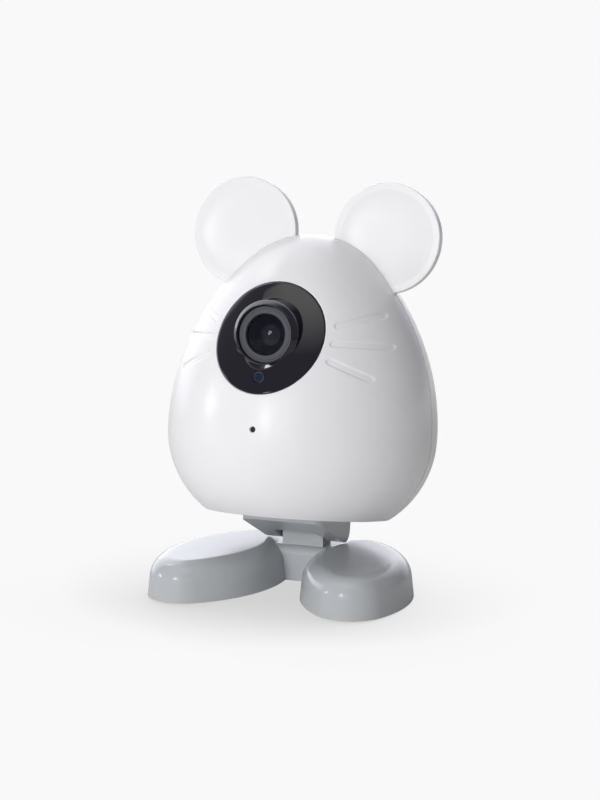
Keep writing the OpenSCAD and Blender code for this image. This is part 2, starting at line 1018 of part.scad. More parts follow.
module light_pipe() {
    color("#7f96c8")
        in_head() {
            along_y(0, pipe_z, pipe_r, -pipe_front_y, -pipe_end_y);
            along_y(0, pipe_z, pipe_flange_r, -pipe_flange_y, -pipe_flange_y + pipe_flange_t);
        }
}

module light_sensor() {
    color(chip_black)
        in_head()
            front_view(-pipe_end_y + fit, -led_y)
                translate([0, pipe_z])
                    square(light_chip, center = true);
}

// Sound

module mic_boot() {
    color(rubber_black)
        in_head()
            difference() {
                along_y(0, mic_z, boot_r, -boot_y, -boot_y + boot_len);
                along_y(0, mic_z, mic_hole_r, -egg_r, 0);
                along_y(0, mic_z, mic_r + screw_fit, -boot_y + boot_web, 0);
            }
}

module microphone() {
    color(metal)
        in_head()
            along_y(0, mic_z, mic_r, -boot_y + boot_web, -boot_y + boot_web + mic_len);
}

// Sets a flat half section on the speaker's axis, with its foot at a depth behind the egg's axis
module on_speaker_axis(depth) {
    translate([0, depth, speaker_z])
        rotate([-90, 0, 0])
            rotate_extrude()
                children();
}

module speaker_gasket() {
    color(rubber_black)
        in_head()
            on_speaker_axis(speaker_y - speaker_gasket_t)
                translate([speaker_r - speaker_rim, 0])
                    square([speaker_rim, speaker_gasket_t]);
}

// A shallow dish with an open front: the back plate carries the magnet
module speaker_frame() {
    face = speaker_frame_h + speaker_rim_t;
    color(metal)
        in_head()
            on_speaker_axis(speaker_y - speaker_gasket_t - face)
                difference() {
                    polygon([
                        [0, 0],
                        [magnet_r + speaker_plate_t, 0],
                        [speaker_r, speaker_frame_h],
                        [speaker_r, face],
                        [0, face]
                    ]);
                    polygon([
                        [0, speaker_plate_t],
                        [magnet_r, speaker_plate_t],
                        [speaker_r - speaker_rim, speaker_frame_h],
                        [speaker_r - speaker_rim, face + 1],
                        [0, face + 1]
                    ]);
                }
}

module speaker_cone() {
    rim = speaker_r - speaker_rim - fit;
    color(chip_black)
        in_head()
            on_speaker_axis(speaker_y - speaker_gasket_t - cone_drop - cone_t)
                polygon([
                    [0, 0],
                    [coil_r, 0],
                    [rim, cone_drop],
                    [rim, cone_drop + cone_t],
                    [coil_r, cone_t],
                    [0, cone_t]
                ]);
}

module speaker_magnet() {
    color(metal)
        in_head()
            on_speaker_axis(speaker_y - speaker_gasket_t - speaker_frame_h - speaker_rim_t - magnet_h)
                square([magnet_r, magnet_h]);
}

// Main board and what stands on it

module main_board() {
    color(board_green)
        in_head()
            difference() {
                translate([0, 0, board_z])
                    cylinder(r = board_r, h = board_t);
                for (sx = [-1, 1])
                    for (sy = [-1, 1])
                        translate([sx * board_screw_x, sy * board_screw_y, 0])
                            cylinder(r = screw_r + fit, h = big);
            }
}

module board_screws() {
    color(metal)
        in_head()
            for (sx = [-1, 1])
                for (sy = [-1, 1])
                    translate([sx * board_screw_x, sy * board_screw_y, board_top])
                        screw(board_t + screw_bite);
}

module processor_shield() {
    inner_w = shield_w - 2 * shield_t;
    color(metal)
        in_head()
            translate([0, shield_y, board_top])
                difference() {
                    linear_extrude(shield_h)
                        round_rect(shield_w, shield_w, shield_corner);
                    translate([0, 0, -1])
                        linear_extrude(shield_h + 1 - shield_t)
                            round_rect(inner_w, inner_w, shield_corner - shield_t);
                }
}

module antenna() {
    color(copper)
        in_head()
            translate([antenna_x - antenna_w / 2, antenna_y - antenna_d / 2, board_top])
                cube([antenna_w, antenna_d, antenna_h]);
}

module flex_cable() {
    color("#c98a3c")
        in_head()
            translate([-flex_w / 2, flex_y - flex_t / 2, board_top + plug_h - plug_grip])
                cube([flex_w, flex_t, flex_top_z + plug_grip - (board_top + plug_h - plug_grip)]);
}

// The slot in each connector is as deep as the cable's grip, with room round it
module flex_plug() {
    difference() {
        translate([-plug_w / 2, -plug_t / 2, 0])
            cube([plug_w, plug_t, plug_h]);
        translate([-flex_w / 2 - fit, -flex_t / 2 - screw_fit, plug_h - plug_grip - screw_fit])
            cube([flex_w + 2 * fit, flex_t + 2 * screw_fit, plug_h]);
    }
}

module flex_connectors() {
    color(chip_black)
        in_head() {
            translate([0, flex_y, board_top])
                flex_plug();
            translate([0, flex_y, flex_top_z + plug_h])
                mirror([0, 0, 1])
                    flex_plug();
        }
}

module inlet_shell() {
    mouth = [inlet_w - 2 * inlet_wall, inlet_h - 2 * inlet_wall];
    color(metal)
        in_head()
            difference() {
                front_view(inlet_y - inlet_len, inlet_y)
                    translate([0, inlet_z])
                        round_rect(inlet_w, inlet_h, inlet_corner);
                front_view(inlet_y - inlet_len + inlet_wall, egg_r)
                    translate([0, inlet_z])
                        round_rect(mouth[0], mouth[1], inlet_corner - inlet_wall);
            }
}

module inlet_tongue() {
    color(chip_black)
        in_head()
            front_view(inlet_y - inlet_len + inlet_wall, inlet_y - inlet_len + inlet_wall + tongue_len)
                translate([0, inlet_z])
                    square([inlet_w / 2, tongue_t], center = true);
}

module card_socket() {
    color(metal)
        in_head()
            difference() {
                translate([card_x - card_w / 2, card_mouth_y - card_len, board_top])
                    cube([card_w, card_len, card_h]);
                front_view(card_mouth_y - card_len + 1, egg_r)
                    translate([card_x, card_slot_z])
                        square([card_slot_w, card_slot_h - 0.2], center = true);
            }
}

module reset_switch() {
    color(chip_black)
        in_head()
            difference() {
                translate([reset_x - reset_switch_w / 2, reset_switch_y - reset_switch_len, board_top])
                    cube([reset_switch_w, reset_switch_len, reset_switch_h]);
                along_y(
                    reset_x, reset_z, reset_stem_r + part_gap,
                    reset_switch_y - reset_stem_in - reset_travel - part_gap, egg_r
                );
            }
}

module reset_button() {
    color(base_grey)
        in_head() {
            along_y(reset_x, reset_z, reset_r, reset_flange_y - fit, reset_out_y);
            along_y(reset_x, reset_z, reset_flange_r, reset_flange_y - reset_flange_t, reset_flange_y);
            along_y(
                reset_x, reset_z, reset_stem_r,
                reset_switch_y - reset_stem_in, reset_flange_y - fit
            );
        }
}

module shell_screws() {
    color(metal)
        in_head()
            for (side = [-1, 1])
                translate([side * shell_screw_x, seam_y + well_floor, shell_screw_z])
                    rotate([-90, 0, 0])
                        screw(shell_screw_len);
}

module bracket_screws() {
    color(metal)
        in_head()
            for (side = [-1, 1])
                translate([side * bracket_screw_x, bracket_screw_y, wall])
                    screw(bracket_screw_len);
}

// Hinge

// Side view of the bracket: a wedge from the front lip to a round barrel about the pin
module bracket_side() {
    run = hinge_back + bracket_front;
    fall = hinge_drop - bracket_lip;
    slope = atan2(fall, run) + asin(cheek_r / norm([run, fall]));
    circle_y = hinge_back - cheek_r * sin(slope);
    circle_z = -hinge_drop - cheek_r * cos(slope);
    translate([hinge_back, -hinge_drop])
        circle(cheek_r);
    polygon([
        [-bracket_front, 0],
        [-bracket_front, -bracket_lip],
        [circle_y, circle_z],
        [hinge_back, -hinge_drop],
        [hinge_back + cheek_r, -hinge_drop],
        [hinge_back + cheek_r, 0]
    ]);
}

// Plan of the slot for the knuckle: open at the back, with round front corners
module slot_plan() {
    translate([0, big / 2 - slot_front])
        round_rect(slot_w, big, slot_corner);
}

module hinge_bracket() {
    color(base_grey)
        in_head() {
            difference() {
                intersection() {
                    side_view(bracket_w)
                        bracket_side();
                    translate([0, 0, -big / 2])
                        linear_extrude(big)
                            translate([0, big / 2 - bracket_front])
                                round_rect(bracket_w, big, bracket_corner);
                }
                translate([0, 0, -slot_roof - big])
                    linear_extrude(big)
                        slot_plan();
                along_x(hinge_back, -hinge_drop, pin_r + press_fit, -big, bracket_w / 2 - pin_blind);
                along_x(hinge_back, -hinge_drop, cap_r + press_fit, -big, -bracket_w / 2 + cap_t);
                for (side = [-1, 1])
                    translate([side * bracket_screw_x, bracket_screw_y, -bracket_screw_len])
                        cylinder(r = screw_r + screw_fit, h = big);
            }
            for (side = [-1, 1])
                translate([side * peg_x, peg_y, -1])
                    cylinder(r = peg_r, h = peg_h + 1);
        }
}

module hinge_pin() {
    color(metal)
        in_head()
            along_x(
                hinge_back, -hinge_drop, pin_r,
                -bracket_w / 2 + cap_t + screw_fit, bracket_w / 2 - pin_blind - screw_fit
            );
}

module hinge_cap() {
    color(base_grey)
        in_head()
            along_x(hinge_back, -hinge_drop, cap_r, -bracket_w / 2, -bracket_w / 2 + cap_t);
}

module friction_washers() {
    color(metal)
        in_head()
            for (side = [0, 1])
                mirror([side, 0, 0])
                    difference() {
                        along_x(
                            hinge_back, -hinge_drop, knuckle_r - fit,
                            knuckle_w / 2 + washer_gap, knuckle_w / 2 + washer_gap + washer_t
                        );
                        along_x(hinge_back, -hinge_drop, pin_r + press_fit, 0, bracket_w);
                    }
}

// Base

// Half section of a foot's toe about its centre: a side that leans in by the draft angle,
// and a round upper edge tangent to it
module foot_half() {
    lean = tan(foot_draft);
    arc_x = toe_r - (foot_h - foot_round - sole_z) * lean - foot_round / cos(foot_draft);
    arc_z = foot_h - foot_round;
    polygon([
        [0, sole_z],
        [toe_r, sole_z],
        [arc_x + foot_round * cos(foot_draft), arc_z + foot_round * sin(foot_draft)],
        [arc_x, arc_z],
        [arc_x, foot_h],
        [0, foot_h]
    ]);
    translate([arc_x, arc_z])
        intersection() {
            circle(foot_round);
            square(foot_round);
        }
}

// A foot along its own X axis: toe and heel are turned about their own centres, and the long sides
// carry the same section round the far centres of the oval's side arcs
module foot_solid() {
    join = [toe_u + join_u * foot_w, join_v * foot_w];
    for (end = [0, 1])
        mirror([end, 0, 0])
            intersection() {
                translate([toe_u, 0, 0])
                    rotate(180)
                        rotate_extrude()
                            foot_half();
                linear_extrude(2 * foot_h)
                    polygon([[toe_u, 0], [join[0], -join[1]], [foot_l, 0], join]);
            }
    for (end = [0, 1])
        mirror([0, end, 0])
            intersection() {
                translate([0, -side_v, 0])
                    rotate_extrude()
                        translate([arc_step, 0])
                            foot_half();
                linear_extrude(2 * foot_h)
                    polygon([[toe_u, 0], join, [-join[0], join[1]], [-toe_u, 0]]);
            }
    translate([0, 0, sole_z])
        linear_extrude(foot_h - sole_z)
            intersection_for (side = [-1, 1])
                translate([0, side * side_v])
                    circle(arc_step + 1);
}

// The same oval as a flat shape, moved in by i
module foot_oval(i) {
    reach_u = toe_u + (toe_r - i) * join_u;
    for (side = [-1, 1])
        translate([side * toe_u, 0])
            circle(toe_r - i);
    intersection() {
        translate([0, -side_v])
            circle(side_r - i);
        translate([0, side_v])
            circle(side_r - i);
        square([2 * reach_u, big], center = true);
    }
}

// Sets a foot piece, drawn along +X towards the toe, in its place under the head
module at_foot(side) {
    translate([side * foot_x, foot_y, 0])
        rotate(side * foot_splay - 90)
            children();
}

// Side view of the bridge between the heels
module bridge_side() {
    length = bridge_front + bridge_back;
    translate([hinge_y - bridge_front, sole_z])
        square([length, bridge_h - bridge_round - sole_z]);
    translate([hinge_y - bridge_front + bridge_round, sole_z])
        square([length - 2 * bridge_round, bridge_h - sole_z]);
    for (y = [bridge_round - bridge_front, bridge_back - bridge_round])
        translate([hinge_y + y, bridge_h - bridge_round])
            circle(bridge_round);
}

// Side view of the knuckle: a post under a round barrel
module knuckle_side() {
    translate([hinge_y, hinge_z])
        circle(knuckle_r);
    translate([hinge_y - knuckle_r, bridge_h - bridge_round])
        square([2 * knuckle_r, hinge_z - bridge_h + bridge_round]);
}

module base_shell() {
    color(base_grey)
        difference() {
            union() {
                for (side = [-1, 1])
                    at_foot(side)
                        foot_solid();
                side_view(2 * foot_x)
                    bridge_side();
                side_view(knuckle_w)
                    knuckle_side();
            }
            along_x(hinge_y, hinge_z, pin_r + run_fit, -big / 2, big / 2);
            for (side = [-1, 1])
                at_foot(side) {
                    translate([0, 0, sole_z - 1])
                        linear_extrude(cover_t + 1)
                            foot_oval(foot_wall);
                    difference() {
                        translate([0, 0, sole_z])
                            linear_extrude(cavity_top - sole_z)
                                foot_oval(cavity_inset);
                        for (end = [-1, 1])
                            translate([end * pad_u, 0, cover_top])
                                cylinder(r = boss_r, h = foot_h);
                    }
                    for (end = [-1, 1])
                        translate([end * pad_u, 0, 0])
                            cylinder(r = screw_r + screw_fit, h = cavity_top - 1);
                }
        }
}

module foot_cover(side) {
    color(base_grey)
        at_foot(side)
            difference() {
                translate([0, 0, sole_z])
                    linear_extrude(cover_t)
                        foot_oval(foot_wall + fit);
                for (end = [-1, 1])
                    translate([end * pad_u, 0, 0]) {
                        cylinder(r = pad_r + fit, h = pad_t);
                        cylinder(r = screw_head_r + fit, h = pad_t + screw_head_h);
                        cylinder(r = screw_r + fit, h = foot_h);
                    }
            }
}

module left_foot_cover() {
    foot_cover(-1);
}

module right_foot_cover() {
    foot_cover(1);
}

module ballast(side) {
    color(metal)
        at_foot(side)
            translate([0, 0, ballast_z])
                linear_extrude(ballast_t)
                    intersection() {
                        foot_oval(ballast_inset);
                        square([ballast_l, foot_w], center = true);
                    }
}

module left_ballast() {
    ballast(-1);
}

module right_ballast() {
    ballast(1);
}

module cover_screws() {
    color(metal)
        for (side = [-1, 1])
            at_foot(side)
                for (end = [-1, 1])
                    translate([end * pad_u, 0, pad_t + screw_head_h])
                        mirror([0, 0, 1])
                            screw(cover_screw_len);
}

module foot_pads() {
    color(rubber_black)
        for (side = [-1, 1])
            at_foot(side)
                for (end = [-1, 1])
                    translate([end * pad_u, 0, 0])
                        cylinder(r = pad_r, h = pad_t);
}

front_shell();
rear_shell();
left_ear();
right_ear();
lens_window();
window_gasket();
lens_barrel();
front_lens();
rear_lens();
infrared_filter();
lens_holder();
image_sensor();
sensor_board();
sensor_screws();
lamp_board();
infrared_lamps();
light_pipe();
light_sensor();
mic_boot();
microphone();
speaker_frame();
speaker_cone();
speaker_magnet();
speaker_gasket();
main_board();
board_screws();
processor_shield();
antenna();
flex_cable();
flex_connectors();
inlet_shell();
inlet_tongue();
card_socket();
reset_switch();
reset_button();
shell_screws();
bracket_screws();
hinge_bracket();
hinge_pin();
hinge_cap();
friction_washers();
base_shell();
left_foot_cover();
right_foot_cover();
left_ballast();
right_ballast();
cover_screws();
foot_pads();
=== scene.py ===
# %% [markdown]
# A desk pet camera: an egg-shaped white head with two round ears, a black window with a lens,
# and a grey base with two splayed feet. The construction is loaded first and stays fixed.
# Everything here adds looks to it: finishes, finer surfaces where a moulding is smooth,
# soft studio light, and the camera.

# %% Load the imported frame
import json
import math

import bpy
import numpy as np
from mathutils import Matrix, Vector


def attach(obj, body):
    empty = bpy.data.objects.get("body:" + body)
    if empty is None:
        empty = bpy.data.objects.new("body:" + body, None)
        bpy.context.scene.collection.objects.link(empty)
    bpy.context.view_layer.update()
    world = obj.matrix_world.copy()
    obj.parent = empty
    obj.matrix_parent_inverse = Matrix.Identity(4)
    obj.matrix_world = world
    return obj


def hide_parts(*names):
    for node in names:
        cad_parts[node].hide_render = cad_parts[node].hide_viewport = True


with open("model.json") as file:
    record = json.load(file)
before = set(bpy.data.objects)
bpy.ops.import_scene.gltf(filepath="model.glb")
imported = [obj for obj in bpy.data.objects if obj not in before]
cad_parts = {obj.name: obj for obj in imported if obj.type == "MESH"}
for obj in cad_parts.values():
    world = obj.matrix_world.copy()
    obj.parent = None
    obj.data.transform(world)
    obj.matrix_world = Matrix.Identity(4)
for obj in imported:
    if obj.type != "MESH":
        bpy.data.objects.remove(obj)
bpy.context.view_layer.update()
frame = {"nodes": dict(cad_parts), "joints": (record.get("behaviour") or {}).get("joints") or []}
nodes = frame["nodes"]

# %% [markdown]
# The camera comes first, because every later choice is judged through it. It stands about 0.78 m
# away, to the right of straight ahead and a little above. A short lens could stand closer, but
# a long one keeps the egg's outline calm, as in a catalogue picture.

# %% Camera
CAMERA_PLACE = (0.27956, -0.71778, 0.20531)
CAMERA_TARGET = (0.00257, -0.00910, 0.05842)
LENS_MM = 116.16
SENSOR_MM = 36.0

camera_data = bpy.data.cameras.new("camera")
camera_data.lens = LENS_MM
camera_data.sensor_width = SENSOR_MM
camera = bpy.data.objects.new("camera", camera_data)
bpy.context.scene.collection.objects.link(camera)
camera.location = CAMERA_PLACE
look = Vector(CAMERA_TARGET) - Vector(CAMERA_PLACE)
camera.rotation_euler = look.to_track_quat("-Z", "Y").to_euler()
bpy.context.scene.camera = camera
print("camera", round(look.length, 3), "m away")

# %% [markdown]
# A few small helpers serve every finish. One turns a hex colour, as a paint chart gives it, into
# the linear values that a shader wants. One adds a shader node with its settings and links,
# because trees written out by hand repeat themselves. One turns a real size into a texture scale.

# %% Colour and node helpers
# Socket numbers of a Mix node that mixes colours, and the settings that two kinds of node need
MIX_SHARE, MIX_A, MIX_B, MIX_OUT = 0, 6, 7, 2
COLOURS = {"data_type": "RGBA"}
PRODUCT = {"operation": "MULTIPLY"}


def srgb(code):
    """Linear colour of an sRGB hex value.

    A channel v becomes v / 12.92 when dark, else ((v + 0.055) / 1.055) to the power 2.4.
    """
    v = np.array([int(code[i:i + 2], 16) for i in (1, 3, 5)]) / 255
    linear = np.where(v <= 0.04045, v / 12.92, ((v + 0.055) / 1.055) ** 2.4)
    return (*linear.tolist(), 1.0)


def add(tree, kind, settings=None, inputs=None):
    """Adds one node: settings are its attributes, inputs are values or sockets to link from."""
    node = tree.nodes.new(kind)
    for name, value in (settings or {}).items():
        setattr(node, name, value)
    for key, value in (inputs or {}).items():
        if isinstance(value, bpy.types.NodeSocket):
            tree.links.new(value, node.inputs[key])
        else:
            node.inputs[key].default_value = value
    return node


def new_material(name):
    """An empty node material, with its tree and its output node."""
    material = bpy.data.materials.new(name)
    material.use_nodes = True
    material.node_tree.nodes.clear()
    return material, material.node_tree, add(material.node_tree, "ShaderNodeOutputMaterial")


def per_mm(size_mm):
    """Texture scale at which a feature is that many millimetres across, as 1000 / size."""
    return 1000 / size_mm


print("mid grey in linear light", round(srgb("#808080")[0], 3))

# %% [markdown]
# Most of the object is moulded plastic. A mould leaves a fine even grain, a slightly uneven gloss
# where the melt flowed, and hardly any change of colour. Noise in the piece's own coordinates
# gives all three without a seam. One function makes every such finish, because only the colour,
# the gloss and the grain differ. Real grain is near 0.1 mm, too fine to show from here, so it is
# drawn several times coarser.

# %% Moulded plastics
# Most values of a noise texture lie between these
NOISE_LOW, NOISE_HIGH = 0.3, 0.7


def moulded(name, colour, shade, roughness, spread, ior, grain_mm, grain_um, flow_mm=9.0):
    """Plastic: colour that drifts to a shade, gloss that varies by spread, grain in relief."""
    material, tree, out = new_material(name)
    place = add(tree, "ShaderNodeTexCoord").outputs["Object"]
    flow = add(tree, "ShaderNodeTexNoise", None, {
        "Vector": place, "Scale": per_mm(flow_mm), "Detail": 2.0})
    grain = add(tree, "ShaderNodeTexNoise", None, {
        "Vector": place, "Scale": per_mm(grain_mm), "Detail": 3.0})
    tint = add(tree, "ShaderNodeMix", COLOURS, {
        MIX_SHARE: flow.outputs["Fac"], MIX_A: srgb(colour), MIX_B: srgb(shade)})
    gloss = add(tree, "ShaderNodeMapRange", None, {
        "Value": flow.outputs["Fac"], "From Min": NOISE_LOW, "From Max": NOISE_HIGH,
        "To Min": roughness - spread, "To Max": roughness + spread})
    relief = add(tree, "ShaderNodeBump", None, {
        "Height": grain.outputs["Fac"], "Strength": 1.0, "Distance": grain_um * 1e-6})
    skin = add(tree, "ShaderNodeBsdfPrincipled", None, {
        "Base Color": tint.outputs[MIX_OUT], "Roughness": gloss.outputs["Result"], "IOR": ior,
        "Normal": relief.outputs["Normal"]})
    tree.links.new(skin.outputs["BSDF"], out.inputs["Surface"])
    return material


print("grain and flow read noise from", NOISE_LOW, "to", NOISE_HIGH)

# %% [markdown]
# Four plastics show on the finished object, and their gloss tells them apart: satin on the egg,
# semi-gloss on the base, a mirror on the window and a dull ring round the lens. Gloss is matched
# before colour, because the eye reads it first.

# %% Plastics that show
# White ABS from a satin tool: a soft broad sheen. Its texture mirrors less than its bare index
abs_white_satin = moulded(
    "abs_white_satin", "#EDECEE", "#EAE9EC",
    roughness=0.24, spread=0.02, ior=1.38, grain_mm=0.6, grain_um=2)
# Grey ABS from a polished tool: clear small highlights and a faint mirror of the background
abs_grey_semigloss = moulded(
    "abs_grey_semigloss", "#B6B9BC", "#B2B5B9",
    roughness=0.20, spread=0.02, ior=1.53, grain_mm=0.8, grain_um=2)
# Black polycarbonate, polished: mirror-like, a little blue because it lets infrared through
polycarbonate_black_gloss = moulded(
    "polycarbonate_black_gloss", "#0B0A0F", "#09090D",
    roughness=0.04, spread=0.01, ior=1.58, grain_mm=2.0, grain_um=1)
# Dark grey glass-filled nylon: dull, so that it throws no light into the lens
nylon_grey_matt = moulded(
    "nylon_grey_matt", "#404147", "#3C3D43",
    roughness=0.38, spread=0.05, ior=1.53, grain_mm=0.35, grain_um=10)
print("white plastic has", len(abs_white_satin.node_tree.nodes), "shader nodes")

# %% [markdown]
# The hidden pieces get their finishes from the same function: rubber, chip epoxy, speaker paper
# and the film of a flat cable. They show when the object is taken apart or seen from behind.

# %% Finishes of hidden pieces
# Black silicone rubber: soft sheen, fine mould grain
silicone_black = moulded(
    "silicone_black", "#262628", "#222224",
    roughness=0.62, spread=0.06, ior=1.41, grain_mm=0.5, grain_um=15)
# Black epoxy of chip packages: dull, pale dusty grain
epoxy_black = moulded(
    "epoxy_black", "#222225", "#2A2A2D",
    roughness=0.5, spread=0.05, ior=1.55, grain_mm=0.25, grain_um=10)
# Pressed paper of the speaker cone: fibrous and matt
paper_black = moulded(
    "paper_black", "#1E1E20", "#2C2B2C",
    roughness=0.85, spread=0.08, ior=1.5, grain_mm=0.7, grain_um=60, flow_mm=2.5)
# Polyimide film of the flat cable: amber, smooth
polyimide_amber = moulded(
    "polyimide_amber", "#B9772B", "#A8661F",
    roughness=0.3, spread=0.04, ior=1.7, grain_mm=1.2, grain_um=4)
print("hidden finishes", silicone_black.name, epoxy_black.name, paper_black.name)

# %% [markdown]
# Metal pieces are rolled, plated or stamped. Rolling leaves long fine scratches along one
# direction, so the noise is stretched along X before it drives the gloss and a shallow relief.
# Real scratches are a few hundredths of a millimetre wide and are drawn coarser, to show.

# %% Metals
SCRATCH_STRETCH, SCRATCH_UM, SCRATCH_STRENGTH = 14.0, 4, 0.6


def rolled(name, colour, dark, roughness, spread, line_mm):
    """Metal whose gloss and colour follow scratches of a given spacing, drawn out along X."""
    material, tree, out = new_material(name)
    place = add(tree, "ShaderNodeTexCoord").outputs["Object"]
    along = add(tree, "ShaderNodeMapping", None, {
        "Vector": place, "Scale": (1 / SCRATCH_STRETCH, 1.0, 1.0)})
    lines = add(tree, "ShaderNodeTexNoise", None, {
        "Vector": along.outputs["Vector"], "Scale": per_mm(line_mm), "Detail": 4.0})
    tint = add(tree, "ShaderNodeMix", COLOURS, {
        MIX_SHARE: lines.outputs["Fac"], MIX_A: srgb(colour), MIX_B: srgb(dark)})
    gloss = add(tree, "ShaderNodeMapRange", None, {
        "Value": lines.outputs["Fac"], "From Min": NOISE_LOW, "From Max": NOISE_HIGH,
        "To Min": roughness - spread, "To Max": roughness + spread})
    relief = add(tree, "ShaderNodeBump", None, {
        "Height": lines.outputs["Fac"], "Strength": SCRATCH_STRENGTH,
        "Distance": SCRATCH_UM * 1e-6})
    skin = add(tree, "ShaderNodeBsdfPrincipled", None, {
        "Base Color": tint.outputs[MIX_OUT], "Metallic": 1.0,
        "Roughness": gloss.outputs["Result"], "Normal": relief.outputs["Normal"]})
    tree.links.new(skin.outputs["BSDF"], out.inputs["Surface"])
    return material


# Zinc-plated steel of screws and the hinge pin: bright and slightly blue
steel_zinc_plated = rolled(
    "steel_zinc_plated", "#C3C6CC", "#B2B5BC", roughness=0.32, spread=0.08, line_mm=0.4)
# Bare rolled steel of the ballast plates: darker, with a mill finish
steel_mill_finish = rolled(
    "steel_mill_finish", "#8B8A88", "#777674", roughness=0.48, spread=0.1, line_mm=0.7)
# Tinned steel of the shield, the two sockets and the magnet cup: thin bright sheet
steel_tinned = rolled(
    "steel_tinned", "#CFCFCB", "#BDBDB9", roughness=0.28, spread=0.07, line_mm=0.5)
# Copper of the aerial: warm and a little dulled by air
copper_bare = rolled(
    "copper_bare", "#C98A5A", "#B4774A", roughness=0.35, spread=0.08, line_mm=0.5)
print("metals", steel_zinc_plated.name, steel_mill_finish.name, steel_tinned.name, copper_bare.name)

# %% [markdown]
# A circuit board shows its copper tracks as slightly paler lines under green lacquer. A brick
# pattern with thin joints stands for them. The tracks of a small board lie closer together than
# this, and are drawn coarser so that they show.

# %% Circuit board lacquer
TRACK_MM = 1.6
TRACK_WIDTH = 0.09
TRACK_RISE_UM, TRACK_STRENGTH = 30, 0.5

fibreglass_green, tree, out = new_material("fibreglass_green_lacquer")
place = add(tree, "ShaderNodeTexCoord").outputs["Object"]
tracks = add(tree, "ShaderNodeTexBrick", None, {
    "Vector": place, "Color1": srgb("#1C5236"), "Color2": srgb("#1F5A3C"),
    "Mortar": srgb("#3B7F58"), "Scale": per_mm(TRACK_MM), "Mortar Size": TRACK_WIDTH})
relief = add(tree, "ShaderNodeBump", None, {
    "Height": tracks.outputs["Fac"], "Strength": TRACK_STRENGTH,
    "Distance": TRACK_RISE_UM * 1e-6})
# Lacquer: an even, rather glossy skin over the tracks
lacquer = add(tree, "ShaderNodeBsdfPrincipled", None, {
    "Base Color": tracks.outputs["Color"], "Roughness": 0.3, "IOR": 1.5,
    "Normal": relief.outputs["Normal"]})
tree.links.new(lacquer.outputs["BSDF"], out.inputs["Surface"])
print("board tracks every", TRACK_MM, "mm")

# %% [markdown]
# The lens and the light pipe are clear. Real lenses carry a thin coating that lets them mirror
# very little, and what they mirror is a little violet and green. Here one tinted, transmitting
# shader does that, with an index below that of glass, because a coat on top would mirror more.

# %% Clear materials
FILM_MM = 6.0


def clear(name, tint, coat_tint, ior, roughness, milk=0.0):
    """Clear plastic or glass: the tint drifts as a coating does, milk is the scattering share."""
    material, tree, out = new_material(name)
    place = add(tree, "ShaderNodeTexCoord").outputs["Object"]
    film = add(tree, "ShaderNodeTexNoise", None, {
        "Vector": place, "Scale": per_mm(FILM_MM), "Detail": 1.0})
    colour = add(tree, "ShaderNodeMix", COLOURS, {
        MIX_SHARE: film.outputs["Fac"], MIX_A: srgb(tint), MIX_B: srgb(coat_tint)})
    body = add(tree, "ShaderNodeBsdfPrincipled", None, {
        "Base Color": colour.outputs[MIX_OUT], "Roughness": roughness, "IOR": ior,
        "Transmission Weight": 1.0 - milk})
    tree.links.new(body.outputs["BSDF"], out.inputs["Surface"])
    return material


# Coated optical glass: nearly black from the front. The low index stands for the coating
glass_coated = clear("glass_coated", "#D5D8F0", "#CBD6EA", ior=1.26, roughness=0.0)
# Clear acrylic of the light pipe: faintly milky, and blue against the dark inside
acrylic_clear = clear(
    "acrylic_clear", "#3A66B8", "#3A86A8", ior=1.49, roughness=0.12, milk=0.06)
# Blue-green absorbing glass of the infrared filter
glass_infrared_filter = clear(
    "glass_infrared_filter", "#9CC9CF", "#8FBAC8", ior=1.52, roughness=0.02)
print("clear materials", glass_coated.name, acrylic_clear.name, glass_infrared_filter.name)

# %% [markdown]
# Every carried-over piece of the construction takes one of these finishes. A table of names keeps
# them in one place, so that a change of finish is a change of one line.

# %% Finishes of the construction's pieces
FINISHES = {
    abs_white_satin: ["front_shell", "rear_shell", "left_ear", "right_ear", "reset_button"],
    abs_grey_semigloss: ["hinge_bracket", "base_shell", "left_foot_cover", "right_foot_cover",
                         "hinge_cap"],
    polycarbonate_black_gloss: ["lens_window"],
    nylon_grey_matt: ["lens_barrel", "lens_holder", "speaker_frame", "friction_washers"],
    silicone_black: ["window_gasket", "mic_boot", "speaker_gasket", "foot_pads"],
    epoxy_black: ["image_sensor", "infrared_lamps", "light_sensor", "microphone",
                  "flex_connectors", "inlet_tongue", "reset_switch"],
    paper_black: ["speaker_cone"],
    polyimide_amber: ["flex_cable"],
    steel_zinc_plated: ["sensor_screws", "board_screws", "shell_screws", "bracket_screws",
                        "cover_screws", "hinge_pin"],
    steel_mill_finish: ["left_ballast", "right_ballast"],
    steel_tinned: ["processor_shield", "inlet_shell", "card_socket", "speaker_magnet"],
    copper_bare: ["antenna"],
    fibreglass_green: ["sensor_board", "lamp_board", "main_board"],
    glass_coated: ["front_lens", "rear_lens"],
    acrylic_clear: ["light_pipe"],
    glass_infrared_filter: ["infrared_filter"],
}
for material, names in FINISHES.items():
    for name in names:
        for slot in nodes[name].material_slots:
            slot.material = material
print("finished", sum(len(names) for names in FINISHES.values()), "of", len(nodes), "nodes")

# %% [markdown]
# New pieces are grids of points. A grid closes round its first direction. Along its second
# direction it closes too, like a hose bent into a ring, or it ends in two poles, like an onion.
# Either way the mesh has no open edge, so the sign of its volume tells which way its faces point.

# %% Grid helpers
def runs(*spans):
    """Values along runs joined end to end, each given as its start, end and number of steps."""
    return np.concatenate([np.linspace(a, b, n, endpoint=False) for a, b, n in spans])


